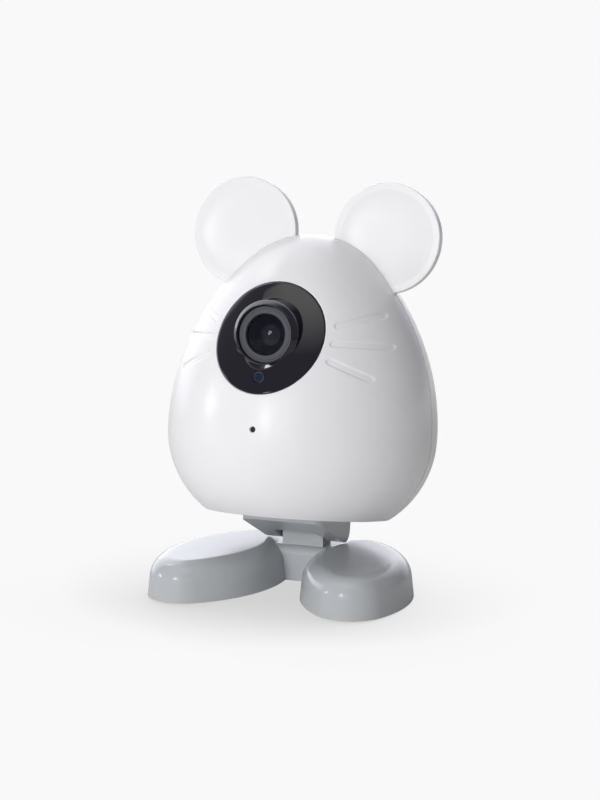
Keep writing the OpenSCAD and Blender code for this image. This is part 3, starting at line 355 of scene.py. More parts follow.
def grid_faces(n, m, wraps):
    """Corner numbers of the quads between neighbours of an n by m grid. Poles repeat a corner."""
    index = np.arange(n * m).reshape(n, m)
    if not wraps:
        index[:, 0] = index[0, 0]
        index[:, -1] = index[0, -1]
    beside = np.roll(index, -1, axis=0)
    here = np.arange(m if wraps else m - 1)
    ahead = (here + 1) % m
    corners = [index[:, here], beside[:, here], beside[:, ahead], index[:, ahead]]
    return np.stack(corners, -1).reshape(-1, 4)


print("a ring of 8 by 4 points has", len(grid_faces(8, 4, True)), "faces")

# %% [markdown]
# A piece is one object with one closed mesh. It rides on a body of the frame, so that it moves
# with the joints, and it may stand for a node of the construction. It could be a copy of that
# node with its edges softened, but a new grid has even faces that shade without ripples.

# %% Closed pieces
SHARP_EDGE = math.radians(38)


def closed_mesh(name, points, wraps):
    """Smooth mesh of a closed grid. Its volume sums a x b . c over the faces' two triangles."""
    flat = points.reshape(-1, 3)
    quads = grid_faces(*points.shape[:2], wraps)
    a, b, c, d = (flat[quads[:, k]] for k in range(4))
    inside_out = (np.cross(a, b) * c).sum() + (np.cross(a, c) * d).sum() < 0
    used, quads = np.unique(quads[:, ::-1] if inside_out else quads, return_inverse=True)
    quads = quads.reshape(-1, 4)
    first, last = quads[:, 0] == quads[:, 1], quads[:, 2] == quads[:, 3]
    faces = quads[~first & ~last].tolist()
    faces += quads[first][:, 1:].tolist() + quads[last][:, :3].tolist()
    mesh = bpy.data.meshes.new(name)
    mesh.from_pydata(flat[used].tolist(), [], faces)
    mesh.polygons.foreach_set("use_smooth", np.ones(len(mesh.polygons), bool))
    mesh.set_sharp_from_angle(angle=SHARP_EDGE)
    return mesh


def piece(name, points, wraps, body, material, stands_for=()):
    """One closed piece from a grid of points in metres, riding on a body of the frame."""
    mesh = closed_mesh(name, points, wraps)
    mesh.materials.append(material)
    made = bpy.data.objects.new(name, mesh)
    bpy.context.scene.collection.objects.link(made)
    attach(made, body)
    if stands_for:
        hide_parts(*stands_for)
    print(name, len(mesh.vertices), "points", len(mesh.polygons), "faces")


print("edges past", round(math.degrees(SHARP_EDGE)), "degrees stay sharp")

# %% [markdown]
# The head is drawn upright, in millimetres from the middle of the egg's flat underside, with the
# lens looking along minus Y. That keeps its sizes round numbers. The hinge and the lean at rest
# then carry every point to its place, so that the objects themselves stay at the origin.

# %% Place of the head
REST_TILT = math.radians(10.2)
HINGE_IN_HEAD = np.array((0.0, 8.75, -4.65))
HINGE = np.array(next(j for j in frame["joints"] if j["name"] == "head_tilt")["pos_m"])


def in_head(mm):
    """Metres in the frame: the hinge moved to the origin, leant back, then moved to its place."""
    p = (np.asarray(mm, float) - HINGE_IN_HEAD) / 1000
    c, s = math.cos(REST_TILT), math.sin(REST_TILT)
    x, y, z = p[..., 0], p[..., 1], p[..., 2]
    return np.stack([x, c * y + s * z, c * z - s * y], -1) + HINGE


print("hinge in mm", (1000 * HINGE).round(2).tolist())

# %% [markdown]
# The egg is turned from three arcs that run smoothly into each other: a tight belly, a long flank
# and a round crown. A sculpted egg would do for one picture, but every piece of the head takes
# its surface from these few sizes, so that window, grooves and shell agree to a hair.

# %% Egg profile
EGG_W, EGG_H = 82.0, 85.0
BELLY_H, BELLY_R, CROWN_R = 25.0, 30.9, 27.3

egg_r = EGG_W / 2
belly_x = egg_r - BELLY_R
crown_z = EGG_H - CROWN_R
rise = crown_z - BELLY_H
flank_r = (egg_r ** 2 + rise ** 2 - CROWN_R ** 2) / (2 * (egg_r - CROWN_R))
flank_x = egg_r - flank_r
join_z = BELLY_H + flank_r * rise / math.hypot(rise, flank_x)


def egg_arc(z):
    """Centre and radius of the arc that holds each height: belly, then flank, then crown."""
    low, middle = z < BELLY_H, z < join_z
    x0 = np.where(low, belly_x, np.where(middle, flank_x, 0.0))
    z0 = np.where(middle, BELLY_H, crown_z)
    return x0, z0, np.where(low, BELLY_R, np.where(middle, flank_r, CROWN_R))


def egg_reach(z, inset=0.0):
    """Radius of the egg at a height: the arc's centre plus the root of r squared - dz squared."""
    x0, z0, r = egg_arc(z)
    return x0 + np.sqrt(np.clip((r - inset) ** 2 - (z - z0) ** 2, 0, None))


def egg_depth(x, z, inset=0.0):
    """How far the skin, or a surface inset below it, stands in front of the axis."""
    return np.sqrt(np.clip(egg_reach(z, inset) ** 2 - x ** 2, 0, None))


def egg_normal(p):
    """Outward direction at points of the skin: away from the arc's centre, through the axis."""
    x0, z0, _ = egg_arc(p[..., 2])
    reach = np.maximum(np.hypot(p[..., 0], p[..., 1]), 1e-6)
    out = (reach - x0) / reach
    n = np.stack([out * p[..., 0], out * p[..., 1], p[..., 2] - z0], -1)
    return n / np.linalg.norm(n, axis=-1, keepdims=True)


print("flank radius", round(flank_r, 1), "mm, crown from", round(join_z, 1), "mm up")

# %% [markdown]
# Three whisker grooves are pressed into each side of the front shell, and a microphone hole into
# its middle. Booleans could cut them, but edges cut in a coarse mesh look torn. Here they are
# depths, worked out at every point of a fine grid, with the soft edges that a mould gives.

# %% Whisker grooves and microphone hole
GROOVE_W, GROOVE_DEPTH, GROOVE_SOFT = 2.3, 0.35, 0.45
GROOVE_X, GROOVE_Z, GROOVE_STEP, GROOVE_FAN = 19.4, 52.3, 5.3, 23.5
GROOVE_LENGTHS = (11.0, 12.5, 9.4)
MIC_Z, MIC_R, MIC_DEPTH, MIC_SOFT = 26.0, 0.9, 1.8, 0.16


def ramp(t):
    """Smooth step from 0 to 1: t cubed times (10 - 15 t + 6 t squared), flat at both ends."""
    t = np.clip(t, 0, 1)
    return t ** 3 * (10 - 15 * t + 6 * t * t)


def groove_dents(x, z):
    """Depth of the whisker grooves: full near a groove's middle line, soft at half its width."""
    dent = np.zeros_like(x)
    for row, length in enumerate(GROOVE_LENGTHS):
        turn = math.radians((row - 1) * GROOVE_FAN)
        u = np.abs(x) - GROOVE_X
        v = z - GROOVE_Z - (row - 1) * GROOVE_STEP
        along = np.clip(u * math.cos(turn) + v * math.sin(turn), 0, length)
        away = np.hypot(u - along * math.cos(turn), v - along * math.sin(turn))
        dent = np.maximum(dent, GROOVE_DEPTH * ramp((GROOVE_W / 2 - away) / GROOVE_SOFT))
    return dent


def mic_dent(x, z):
    """Depth of the microphone hole, a steep round pit."""
    return MIC_DEPTH * ramp((MIC_R - np.hypot(x, z - MIC_Z)) / MIC_SOFT)


print("whisker grooves on each side", len(GROOVE_LENGTHS), "each", GROOVE_DEPTH, "mm deep")

# %% [markdown]
# The front shell is one grid, polar about the window. For every angle it needs the distance from
# the window's centre to the egg's outline. Three arcs and a flat underside have no neat formula
# for that, so it is found by halving. The angles lie closer where grooves and hole are.

# %% Angles and reach of the front shell
WINDOW_R, WINDOW_Z = 16.7, 52.9
WALL = 2.2
HALVINGS = 40
# Half the sector of the microphone hole, and the sector of the grooves, in degrees
MIC_HALF = 3.5
GROOVES_FROM, GROOVES_TO = -24.0, 22.0


def outline_reach(angle, inset=0.0):
    """Distance from the window's centre to the egg's outline in the front view, by halving."""
    near, far = np.zeros_like(angle), np.full_like(angle, EGG_W)
    for _ in range(HALVINGS):
        middle = (near + far) / 2
        x, z = middle * np.cos(angle), WINDOW_Z + middle * np.sin(angle)
        inside = (z > inset) & (z < EGG_H - inset)
        inside &= np.abs(x) < egg_reach(np.clip(z, 0, EGG_H), inset)
        near, far = np.where(inside, middle, near), np.where(inside, far, middle)
    return near


foot_corner = math.degrees(math.atan2(-WINDOW_Z, float(egg_reach(np.array(0.0)))))
shell_angle = np.radians(runs(
    (-90 - MIC_HALF, -90 + MIC_HALF, 28), (-90 + MIC_HALF, foot_corner, 12),
    (foot_corner, GROOVES_FROM, 18), (GROOVES_FROM, GROOVES_TO, 112),
    (GROOVES_TO, 180 - GROOVES_TO, 60), (180 - GROOVES_TO, 180 - GROOVES_FROM, 112),
    (180 - GROOVES_FROM, 180 - foot_corner, 18), (180 - foot_corner, 270 - MIC_HALF, 12)))
outer_reach, inner_reach = outline_reach(shell_angle), outline_reach(shell_angle, WALL)
print(len(shell_angle), "angles, reach", outer_reach.min().round(1), "to",
      outer_reach.max().round(1), "mm")

# %% [markdown]
# The grid starts on the small lip of the window hole and runs over the egg to its outline. The
# grooves and the hole are set into it along the skin's own direction, so that their walls stand
# square to the egg everywhere.

# %% Outer skin of the front shell
LIP = 0.4
# Shares of the way out between which the microphone hole lies
MIC_BAND = (0.243, 0.323)

# Angles of a quarter turn, for every rounded edge
quarter = np.radians(np.linspace(0, 90, 6))


def front_view(distance):
    """Front-view places at distances from the window's centre, one row per angle."""
    distance = np.broadcast_to(distance, (len(shell_angle), np.shape(distance)[-1]))
    x, up = distance * np.cos(shell_angle)[:, None], distance * np.sin(shell_angle)[:, None]
    return x, WINDOW_Z + up


def on_skin(distance, lower=0.0, inset=0.0):
    """Points on the egg in front of those places, set lower by a depth along Y."""
    x, z = front_view(distance)
    return np.stack([x, lower - egg_depth(x, z, inset), z], -1)


lip = on_skin(WINDOW_R + LIP * (1 - np.cos(quarter[None, :])), LIP * (1 - np.sin(quarter)))
outward = np.union1d(np.sin(np.linspace(0, np.pi / 2, 112)), np.linspace(*MIC_BAND, 26))[1:]
face = on_skin(WINDOW_R + LIP + (outer_reach - WINDOW_R - LIP)[:, None] * outward)
dents = groove_dents(face[..., 0], face[..., 2]) + mic_dent(face[..., 0], face[..., 2])
face = face - egg_normal(face) * dents[..., None]
print("deepest dent", dents.max().round(2), "mm")

# %% [markdown]
# At the parting line the skin turns in over a small rounded edge, and the grid comes back along
# the inner wall to the lip. A Solidify modifier could give the wall, but would follow the grooves
# inwards too, and a real shell is plain inside.

# %% Front shell
SEAM_FRONT, SEAM_ROUND = 0.875, 0.3


def straight(start, end, shares):
    """Points at shares of the way between two columns of points."""
    return start[:, None] + (end - start)[:, None] * np.asarray(shares)[None, :, None]


seam_edge = face[:, -1].copy()
seam_edge[:, 1] = SEAM_FRONT - SEAM_ROUND
flank = straight(face[:, -1], seam_edge, (0.3, 0.7, 1.0))
x, z = front_view(outer_reach[:, None] - SEAM_ROUND * (1 - np.cos(quarter[None, 1:])))
y = np.broadcast_to(SEAM_FRONT - SEAM_ROUND * (1 - np.sin(quarter[1:])), x.shape)
seam_corner = np.stack([x, y, z], -1)
inward = np.sin(np.linspace(np.pi / 2, 0, 16))
inner = on_skin(WINDOW_R + (inner_reach - WINDOW_R)[:, None] * inward, 0.0, WALL)
inner_edge = inner[:, 0].copy()
inner_edge[:, 1] = SEAM_FRONT
land = straight(seam_corner[:, -1], inner_edge, (0.2, 1.0))
piece("front_shell_moulding",
      in_head(np.concatenate([lip, face, flank, seam_corner, land, inner], axis=1)),
      True, "head", abs_white_satin, ["front_shell"])

# %% [markdown]
# Behind the microphone hole sits the black rubber boot. A hole through to the dark inside would
# do from the front, but light leaks in at a slant. So the boot's face is a small disc across
# the pit, and the hole reads dark from every side.

# %% Microphone face
MIC_SINK, MIC_FACE_R, MIC_FACE_T = 0.7, 0.836, 0.8

turn = np.linspace(0, 2 * np.pi, 32, endpoint=False)[:, None]
disc_r = MIC_FACE_R * np.array([0, 0.5, 1, 1, 0.5, 0])
disc_back = MIC_SINK + MIC_FACE_T * np.array([0, 0, 0, 1, 1, 1])
x, z = disc_r * np.cos(turn), MIC_Z + disc_r * np.sin(turn)
at = np.stack([x, -egg_depth(x, z), z], -1)
piece("microphone_face", in_head(at - egg_normal(at) * disc_back[None, :, None]),
      False, "head", silicone_black)

# %% [markdown]
# The window is a black moulding that follows the egg, except round the lens, where a level collar
# with a bevelled rim stands on it. The egg leans back, so the collar stands out above the lens,
# and below the lens the egg is cut back to it by a shallow cone. Booleans would leave hard creases
# in the gloss. Instead each point takes the larger of egg and collar, then the smaller of that
# and the cone, and every corner is eased.

# %% Window surface
LENS_Z = 53.7
COLLAR_Y, COLLAR_FOOT, COLLAR_BORE = 36.9, 11.4, 8.4
BEVEL_IN, BEVEL_OUT, BEVEL_SLOPE, WALL_SLOPE = 8.75, 10.1, 1.1, 6.0
CONE_IN, CONE_SLOPE = 8.7, 0.95
EASE = 0.08
WINDOW_SINK = 0.2
PIPE_Z, PIPE_R, PIPE_PIT, PIPE_SOFT = 41.2, 1.65, 0.7, 0.12

lens_angle = np.radians(runs((-102, -78, 56), (-78, 258, 200)))


def larger(a, b):
    """Larger of two values, eased: half of sum plus root of (difference squared + ease squared)."""
    return (a + b + np.sqrt((a - b) ** 2 + EASE ** 2)) / 2


def round_lens(r):
    """Front-view places at radii from the lens axis, one row per angle."""
    return r * np.cos(lens_angle)[:, None], LENS_Z + r * np.sin(lens_angle)[:, None]


def window_points(distance, lower=0.0, inset=WINDOW_SINK):
    """Window surface at radii from the lens axis: egg, collar and cone, less the pipe's pit."""
    r = np.broadcast_to(distance, (len(lens_angle), np.shape(distance)[-1]))
    x, z = round_lens(r)
    bevel, wall = larger(r - BEVEL_IN, 0), larger(r - BEVEL_OUT, 0)
    collar = COLLAR_Y - BEVEL_SLOPE * bevel - WALL_SLOPE * wall
    cone = COLLAR_Y + CONE_SLOPE * larger(r - CONE_IN, 0)
    level = -larger(-larger(egg_depth(x, z, inset), collar), -cone)
    pit = PIPE_PIT * ramp((PIPE_R + PIPE_SOFT - np.hypot(x, z - PIPE_Z)) / PIPE_SOFT)
    return np.stack([x, lower + pit - level, z], -1)


def collar_points(profile):
    """Points of a (radius, depth) profile, the same at every angle round the lens axis."""
    r, depth = np.asarray(profile, float).T
    x, z = round_lens(r)
    return np.stack([x, np.broadcast_to(-depth, x.shape), z], -1)


print("window has", len(lens_angle), "angles, collar", COLLAR_Y, "mm in front of the axis")

# %% [markdown]
# The window's own grid is polar about the lens. It starts at the rim, which fits the shell with
# a hairline gap, climbs the collar, goes down its bore and returns along the back. One closed grid
# lets the collar and the window share a single polished skin, as one moulding does.

# %% Lens window
WINDOW_T, WINDOW_FIT = 1.7, 0.1
RIM_ROUND, BORE_ROUND = 0.35, 0.25
BORE_LONG = 6.0

collar_top = COLLAR_BORE + BORE_ROUND
offset = LENS_Z - WINDOW_Z
rim = WINDOW_R - WINDOW_FIT
rim_reach = -offset * np.sin(lens_angle)
rim_reach = rim_reach + np.sqrt(rim ** 2 - (offset * np.cos(lens_angle)) ** 2)
window_rim = window_points(
    rim_reach[:, None] - RIM_ROUND * (1 - np.cos(quarter[None, :])),
    RIM_ROUND * (1 - np.sin(quarter)))
level_reach = (rim_reach - RIM_ROUND - COLLAR_FOOT)[:, None]
window_face = window_points(COLLAR_FOOT + level_reach * np.linspace(1, 0, 46)[None, 1:])
collar_rise = window_points(np.linspace(COLLAR_FOOT, collar_top, 60)[None, 1:-1])
bore_edge = np.stack([collar_top - BORE_ROUND * np.sin(quarter),
                      COLLAR_Y - BORE_ROUND * (1 - np.cos(quarter))], -1)
bore_end = COLLAR_Y - BORE_LONG
bore = collar_points([*bore_edge, (COLLAR_BORE, bore_end), (BEVEL_OUT, bore_end)])
window_back = window_points(
    COLLAR_FOOT + (rim_reach - COLLAR_FOOT)[:, None] * np.linspace(0, 1, 8),
    0.0, WINDOW_SINK + WINDOW_T)
piece("lens_window_moulding",
      in_head(np.concatenate([window_rim, window_face, collar_rise, bore, window_back], axis=1)),
      True, "head", polycarbonate_black_gloss, ["lens_window"])

# %% [markdown]
# Round pieces of the lens are turned: a half section, drawn as a few corners with their rounding,
# is carried round the lens axis. A Screw modifier would do the same, but a grid closes its own
# seam. A short straight stretch beside each rounding keeps flat faces flat when they are shaded.

# %% Turning helper
STRETCH = 0.06


def rounded(corners, steps=6):
    """Outline through corners (x, y, radius): each becomes an arc tangent to both its sides."""
    c = np.array([k[:2] for k in corners], float)
    before, after = np.roll(c, 1, 0) - c, np.roll(c, -1, 0) - c
    before /= np.linalg.norm(before, axis=1, keepdims=True)
    after /= np.linalg.norm(after, axis=1, keepdims=True)
    out = []
    for here, a, b, radius in zip(c, before, after, [k[2] for k in corners]):
        if radius == 0:
            out.append(here[None])
            continue
        half = 0.5 * math.acos(np.clip(a @ b, -1, 1))
        reach = radius / math.tan(half)
        centre = here + (a + b) / np.linalg.norm(a + b) * radius / math.sin(half)
        start, end = here + a * reach - centre, here + b * reach - centre
        sweep = math.pi - 2 * half
        t = np.linspace(0, 1, steps)[:, None]
        turned_by = np.sin((1 - t) * sweep) * start + np.sin(t * sweep) * end
        arc = centre + turned_by / math.sin(sweep)
        out.append(np.concatenate([arc[:1] + a * STRETCH, arc, arc[-1:] + b * STRETCH]))
    return np.concatenate(out)


def turned(profile, x=0.0, z=LENS_Z, steps=96):
    """A (radius, depth) profile carried round an axis along Y at a place in the front view."""
    turn = np.linspace(0, 2 * np.pi, steps, endpoint=False)[:, None]
    r, depth = np.asarray(profile, float).T
    depth = np.broadcast_to(depth, (steps, len(r)))
    return in_head(np.stack([x + r * np.cos(turn), -depth, z + r * np.sin(turn)], -1))


print("a rounded corner has", len(rounded([(0, 0, 0), (1, 0, 0.1), (1, 1, 0)])) - 2, "points")

# %% [markdown]
# The lens barrel shows as a dull grey ring with a fine step near its edge and a bevel down to the
# glass. It is turned on a lathe, so its half section says all about it.

# %% Lens ring
BARREL_R, BARREL_Y, BARREL_BACK = 8.3, 35.8, 28.0
GLASS_R, GLASS_EDGE_Y = 6.0, 35.1
GLASS_BEVEL = 0.2
STEP_R, STEP_DEEP = 7.55, 0.12

ring = rounded([
    (BARREL_R, BARREL_BACK, 0), (BARREL_R, BARREL_Y - STEP_DEEP, 0.2),
    (STEP_R, BARREL_Y - STEP_DEEP, 0.04), (STEP_R, BARREL_Y, 0.06),
    (GLASS_R + GLASS_BEVEL, BARREL_Y, 0.15), (GLASS_R, GLASS_EDGE_Y, 0.1),
    (GLASS_R, BARREL_BACK, 0)])
piece("lens_ring", turned(ring), True, "head", nylon_grey_matt, ["lens_barrel"])

# %% [markdown]
# Inside the barrel, a row of black steps swallows stray light, as in any small camera lens. A plain
# black tube would look the same from straight ahead, but at a slant it is the fine rings that
# make the lens look deep.

# %% Lens baffle
BAFFLE_STEPS = 6
BAFFLE_R, BAFFLE_OUT_R, BAFFLE_FLOOR = 5.8, 5.9, 1.0
BAFFLE_Y, IRIS_Y, IRIS_R = 33.5, 31.5, 3.0

# Black flocked finish of the baffle: almost no light comes back
nylon_black_matt = moulded(
    "nylon_black_matt", "#060608", "#09090B",
    roughness=0.8, spread=0.05, ior=1.5, grain_mm=0.3, grain_um=15)
down = np.arange(BAFFLE_STEPS + 1) / BAFFLE_STEPS
step_r = BAFFLE_R + (IRIS_R - BAFFLE_R) * down
step_y = BAFFLE_Y + (IRIS_Y - BAFFLE_Y) * down
stairs = np.stack([np.repeat(step_r, 2)[1:], np.repeat(step_y, 2)[:-1]], -1)
shaft = np.concatenate([
    [(0, IRIS_Y)], stairs[::-1],
    [(BAFFLE_OUT_R, BAFFLE_Y), (BAFFLE_OUT_R, IRIS_Y - BAFFLE_FLOOR), (0, IRIS_Y - BAFFLE_FLOOR)]])
piece("lens_baffle", turned(shaft), False, "head", nylon_black_matt,
      ["lens_barrel"])

# %% [markdown]
# The front glass is a shallow dome. A second, smaller dome deep in the barrel stands for the
# next element. Between them they give the few specks of light that make a lens look deep, which
# a single flat disc cannot.

# %% Lens glasses
GLASS_SAG, GLASS_T, GLASS_FIT = 1.2, 1.2, 0.03
INNER_LIFT, INNER_SAG, INNER_T = 0.1, 0.6, 0.4


def dome(radius, edge, sag, thick, steps=24):
    """Half section of a lens: a cap of a ball of radius (r squared + sag squared) / (2 sag)."""
    ball = (radius ** 2 + sag ** 2) / (2 * sag)
    r = radius * np.sin(np.linspace(0, np.pi / 2, steps))
    cap = edge + sag - ball + np.sqrt(ball ** 2 - r ** 2)
    flat_back = [(radius, edge - thick), (0, edge - thick)]
    return np.concatenate([np.stack([r, cap], -1), flat_back])


piece("front_glass", turned(dome(GLASS_R - GLASS_FIT, GLASS_EDGE_Y, GLASS_SAG, GLASS_T)),
      False, "head", glass_coated, ["front_lens"])
# Brown coating of the next element: a faint warm disc with soft specks
glass_coated_brown = moulded(
    "glass_coated_brown", "#5C4836", "#3E342E",
    roughness=0.14, spread=0.03, ior=1.52, grain_mm=0.9, grain_um=4, flow_mm=2.0)
piece("inner_glass", turned(dome(IRIS_R, IRIS_Y + INNER_LIFT, INNER_SAG, INNER_T)),
      False, "head", glass_coated_brown)

# %% [markdown]
# Under the lens a small clear plug brings room light to a sensor. The middle of its level face
# lies a little below the leaning window. Its edge is a thin ring of its own, painted paler than
# the face: a painted highlight that stands for the reflections along the plug's edge.

# %% Light pipe
PIPE_FACE_SINK, PIPE_GAP, PIPE_LONG, PIPE_ROUND = 0.1, 0.05, 4.0, 0.05
EDGE_WIDE, EDGE_DROP, EDGE_DEEP, EDGE_GAP = 0.22, 0.12, 0.4, 0.01
PIPE_SIDES = 48

pipe_face = float(egg_depth(np.array(0.0), np.array(PIPE_Z), WINDOW_SINK)) - PIPE_FACE_SINK
pipe_end = pipe_face - PIPE_LONG
edge_r = PIPE_R - PIPE_GAP
plug_r = edge_r - EDGE_WIDE
plug = rounded([(0, pipe_face, 0), (plug_r, pipe_face, PIPE_ROUND), (plug_r, pipe_end, 0),
                (0, pipe_end, 0)])
piece("light_pipe_plug", turned(plug, 0.0, PIPE_Z, PIPE_SIDES), False, "head",
      acrylic_clear, ["light_pipe"])
# Edge of the acrylic: a pale grey-blue painted highlight, standing for the reflections along it
acrylic_edge_painted_highlight = moulded(
    "acrylic_edge_painted_highlight", "#4C5363", "#3E4453",
    roughness=0.35, spread=0.05, ior=1.49, grain_mm=0.3, grain_um=6)
edge_in = plug_r + EDGE_GAP
edge_end = pipe_face - EDGE_DEEP
# The ring that carries the painted highlight, round the plug's level face
highlight_edge_ring = [(edge_in, pipe_face), (edge_r, pipe_face - EDGE_DROP), (edge_r, edge_end),
            (edge_in, edge_end)]
piece("light_pipe_edge", turned(highlight_edge_ring, 0.0, PIPE_Z, PIPE_SIDES), True, "head",
      acrylic_edge_painted_highlight, ["light_pipe"])

# %% [markdown]
# Each ear is a flat disc with a barely rounded edge, a narrow rim and a dished face. The part of
# the disc deep inside the crown is left out along a circle about the crown's centre.
# A polar grid does both: its radius ends at the rim or at that circle, whichever comes first.

# %% Ears
EAR_R, EAR_T, EAR_X, EAR_Y, EAR_Z = 16.8, 3.0, 23.1, 1.0, 85.0
EAR_RIM, EAR_DISH, EAR_EDGE = 2.2, 0.9, 0.4
EAR_ROOT_R = 21.9
EAR_ANGLES = 240

ear_flat = 1 - EAR_EDGE / EAR_R
# Shares of the radius: even steps over the dish, then fine ones across the rim
ear_steps = np.concatenate([np.linspace(0, 0.84, 30), np.linspace(0.85, ear_flat, 30)])


def ear_reach(ux, uz, dx, dz):
    """Radius of an ear along unit directions: its own, or to the root circle if that is nearer.

    With b the direction times the ear's offset, the circle is met at -b - root(b squared - c).
    """
    b = ux * dx + uz * dz
    gap = b ** 2 - (dx ** 2 + dz ** 2 - EAR_ROOT_R ** 2)
    root = np.where((gap > 0) & (b < 0), -b - np.sqrt(np.clip(gap, 0, None)), EAR_R)
    return np.minimum(EAR_R, root)[:, None]


def ear_grid(side):
    """Polar grid over one ear: dish with the fourth power of the radius, rim, edge, flat back."""
    turn = np.linspace(0, 2 * np.pi, EAR_ANGLES, endpoint=False)
    ux, uz = np.cos(turn), np.sin(turn)
    full = ear_reach(ux, uz, side * EAR_X, EAR_Z - crown_z)
    face_r = full * ear_steps
    hollow = EAR_DISH * (1 - np.clip(face_r / (EAR_R - EAR_RIM), 0, 1) ** 4)
    roll_r = full - EAR_EDGE * (1 - np.sin(quarter[1:]))
    roll_y = np.broadcast_to(-EAR_T / 2 + EAR_EDGE * (1 - np.cos(quarter[1:])), roll_r.shape)
    back_r = np.concatenate([roll_r[:, ::-1], full * ear_flat, full * 0.5, full * 0], axis=1)
    back_y = np.full_like(back_r, EAR_T / 2)
    back_y[:, :roll_r.shape[1]] = -roll_y[:, ::-1]
    r = np.concatenate([face_r, roll_r, back_r], axis=1)
    y = EAR_Y + np.concatenate([hollow - EAR_T / 2, roll_y, back_y], axis=1)
    return in_head(np.stack([side * EAR_X + r * ux[:, None], y, EAR_Z + r * uz[:, None]], -1))


for name, side in (("left_ear", -1), ("right_ear", 1)):
    piece(name + "_disc", ear_grid(side), False, "head", abs_white_satin, [name])

# %% [markdown]
# The object stands on a white studio sweep. Its curved back would be as plain white as the room
# behind it, so one large flat plane is enough here. It belongs to the stage, not to the object.

# %% Floor
FLOOR_SIZE = 12.0

floor_mesh = bpy.data.meshes.new("floor")
half = FLOOR_SIZE / 2
floor_mesh.from_pydata(
    [(-half, -half, 0), (half, -half, 0), (half, half, 0), (-half, half, 0)], [], [(0, 1, 2, 3)])
floor = bpy.data.objects.new("floor", floor_mesh)
bpy.context.scene.collection.objects.link(floor)
print("floor", FLOOR_SIZE, "m across")

# %% [markdown]
# A sweep is lit so brightly that it shows as plain white, and only the soft shadow close to the
# object is left. Lamps bright enough for that would wash out the feet. So the floor glows, for the
# camera only, and less where the object covers the sky above and behind. For light that bounces
# up it is an ordinary pale floor, and so it is in reflections, except far behind, where it is lit.

# %% Floor paint
BACKGROUND = "#F9F9F9"
FLOOR_PALE = "#E4E4E4"
SHADOW_REACH, SHADOW_TONE = 0.05, 0.56
SHADOW_FROM = (0.0, 0.85, 0.53)
SWEEP_NEAR, SWEEP_FAR, SWEEP_GLOW = 0.25, 0.6, 1.1

# White painted sweep: plain white to the camera, with a soft grey shadow
floor_paint, tree, out = new_material("floor_white_sweep")
plain = add(tree, "ShaderNodeBsdfDiffuse", None, {"Color": srgb(FLOOR_PALE)})
lean = add(tree, "ShaderNodeCombineXYZ", None, dict(zip("XYZ", SHADOW_FROM)))
cover = add(tree, "ShaderNodeAmbientOcclusion", {"samples": 16}, {
    "Distance": SHADOW_REACH, "Normal": lean.outputs["Vector"]})
tone = add(tree, "ShaderNodeMapRange", None, {
    "Value": cover.outputs["AO"], "To Min": SHADOW_TONE, "To Max": 1.0})
glow = add(tree, "ShaderNodeEmission", None, {
    "Color": srgb(BACKGROUND), "Strength": tone.outputs["Result"]})
path = add(tree, "ShaderNodeLightPath")
place = add(tree, "ShaderNodeSeparateXYZ", None, {
    0: add(tree, "ShaderNodeTexCoord").outputs["Object"]})
far_back = add(tree, "ShaderNodeMapRange", None, {
    "Value": place.outputs["Y"], "From Min": SWEEP_NEAR, "From Max": SWEEP_FAR})
lit = add(tree, "ShaderNodeMath", PRODUCT, {
    0: far_back.outputs["Result"], 1: path.outputs["Is Glossy Ray"]})
sweep = add(tree, "ShaderNodeEmission", None, {
    "Color": srgb(BACKGROUND), "Strength": SWEEP_GLOW})
other = add(tree, "ShaderNodeMixShader", None, {
    0: lit.outputs["Value"], 1: plain.outputs[0], 2: sweep.outputs[0]})
either = add(tree, "ShaderNodeMixShader", None, {
    0: path.outputs["Is Camera Ray"], 1: other.outputs[0], 2: glow.outputs[0]})
tree.links.new(either.outputs[0], out.inputs["Surface"])
floor_mesh.materials.append(floor_paint)
print("shadow reaches", SHADOW_REACH, "m")

# %% [markdown]
# The room is seen white by the camera. In reflections it is dim, with two bright places: the lit
# backdrop behind and on the left, which the feet and the collar mirror, and a broad light above
# the front with a clean left edge, which the black window mirrors. Otherwise the room only fills
# the shadows. A photographed room would do this too, but here each part can be moved by itself.

# %% Bright places of the room
# Where each bright place begins or ends, along one axis of the direction
BACKDROP_FRONT, BACKDROP_RIGHT = (0.08, 0.25), (-0.15, 0.35)
OVERHEAD_RISE, OVERHEAD_LEFT, OVERHEAD_BACK = (0.73, 0.96), (-0.56, -0.54), (-0.09, -0.045)
RISING, FALLING = (0.0, 1.0), (1.0, 0.0)

world = bpy.data.worlds.new("studio")
world.use_nodes = True
bpy.context.scene.world = world
tree = world.node_tree
tree.nodes.clear()
direction = add(tree, "ShaderNodeSeparateXYZ", None, {
    0: add(tree, "ShaderNodeTexCoord").outputs["Generated"]})


def span(axis, limits, values):
    """Values that run from the first to the second between two limits along an axis."""
    return add(tree, "ShaderNodeMapRange", None, {
        "Value": direction.outputs[axis], "From Min": limits[0], "From Max": limits[1],
        "To Min": values[0], "To Max": values[1]}).outputs["Result"]


behind = add(tree, "ShaderNodeMath", PRODUCT, {
    0: span("Y", BACKDROP_FRONT, RISING), 1: span("X", BACKDROP_RIGHT, FALLING)})
raised = add(tree, "ShaderNodeMath", PRODUCT, {
    0: span("Z", OVERHEAD_RISE, RISING), 1: span("X", OVERHEAD_LEFT, RISING)})
above = add(tree, "ShaderNodeMath", PRODUCT, {
    0: raised.outputs["Value"], 1: span("Y", OVERHEAD_BACK, FALLING)})
print("overhead light from", round(math.degrees(math.asin(OVERHEAD_RISE[0]))), "degrees up")

# %% [markdown]
# The bright places are mixed into the dim room, the overhead one first. What a mirror sees, what
# only fills shadows and what the camera sees are then told apart by the kind of ray, because one
# plain white room would wash the black window out.

# %% World
ROOM_FILL = (0.14, 0.14, 0.14, 1.0)
ROOM_DIM = (0.32, 0.31, 0.40, 1.0)
BACKDROP_GLOW = (2.2, 2.2, 2.4, 1.0)
OVERHEAD_GLOW = (1.5, 1.5, 1.5, 1.0)

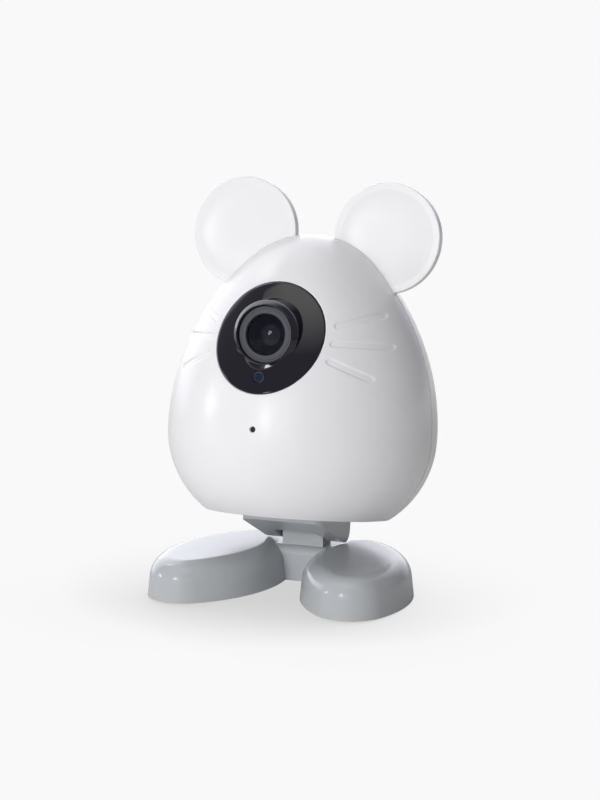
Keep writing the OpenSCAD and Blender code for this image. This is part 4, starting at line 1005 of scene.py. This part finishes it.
roofed = add(tree, "ShaderNodeMix", COLOURS, {
    MIX_SHARE: above.outputs["Value"], MIX_A: ROOM_DIM, MIX_B: OVERHEAD_GLOW})
mirrored = add(tree, "ShaderNodeMix", COLOURS, {
    MIX_SHARE: behind.outputs["Value"], MIX_A: roofed.outputs[MIX_OUT], MIX_B: BACKDROP_GLOW})
path = add(tree, "ShaderNodeLightPath")
fill = add(tree, "ShaderNodeMix", COLOURS, {
    MIX_SHARE: path.outputs["Is Glossy Ray"], MIX_A: ROOM_FILL, MIX_B: mirrored.outputs[MIX_OUT]})
shown = add(tree, "ShaderNodeMix", COLOURS, {
    MIX_SHARE: path.outputs["Is Camera Ray"], MIX_A: fill.outputs[MIX_OUT],
    MIX_B: srgb(BACKGROUND)})
sky = add(tree, "ShaderNodeBackground", None, {"Color": shown.outputs[MIX_OUT], "Strength": 1.0})
add(tree, "ShaderNodeOutputWorld", None, {"Surface": sky.outputs[0]})
print("room fill", ROOM_FILL[0], "with", len(tree.nodes), "nodes")

# %% [markdown]
# Four soft boxes light the object: a strong one in front, weaker ones on the left and overhead,
# and one behind on the left that picks out the edges. They are kept out of reflections, which
# the room gives. Two small lamps stay in them, for the tight highlights on the feet and the
# egg, and so does a narrow strip high on the left, which lies white in the hollow below the lens.

# %% Lights
AIM = Vector((0.0, 0.0, 0.06))


def soft_box(name, azimuth, elevation, distance, wide, tall, watts, mirrored):
    """A flat lamp on a sphere about the object: azimuth 0 is in front, positive to the right."""
    a, e = math.radians(azimuth), math.radians(elevation)
    outward = Vector((math.sin(a) * math.cos(e), -math.cos(a) * math.cos(e), math.sin(e)))
    lamp = bpy.data.lights.new(name, "AREA")
    lamp.shape = "RECTANGLE"
    lamp.size, lamp.size_y = wide, tall
    lamp.energy = watts
    holder = bpy.data.objects.new(name, lamp)
    holder.location = AIM + outward * distance
    holder.rotation_euler = (-outward).to_track_quat("-Z", "Y").to_euler()
    holder.visible_glossy = mirrored
    holder.visible_transmission = False
    bpy.context.scene.collection.objects.link(holder)


# Name, azimuth and elevation in degrees, distance, width and height in metres, watts, mirrored
LAMPS = [
    ("front_box", -4, 10, 1.5, 1.0, 1.0, 15.9, False),
    ("left_box", -85, 10, 1.5, 1.0, 1.0, 1.8, False),
    ("overhead_box", 0, 88, 1.5, 1.0, 1.0, 4.4, False),
    ("back_box", -150, 30, 1.5, 1.0, 1.0, 9.5, False),
    ("front_lamp", -10, 15, 1.2, 0.18, 0.18, 1.35, True),
    ("left_lamp", -67, 11, 1.2, 0.18, 0.18, 1.1, True),
    ("high_strip", -106, 53, 1.5, 0.12, 0.36, 1.1, True),
]
for lamp in LAMPS:
    soft_box(*lamp)
print("lights", len(bpy.data.lights))

# %% [markdown]
# White plastic on a white ground needs honest tones. The film-like view would grey the whites,
# so the plain one is set.

# %% Colour management
bpy.context.scene.view_settings.view_transform = "Standard"
print("view", bpy.context.scene.view_settings.view_transform)
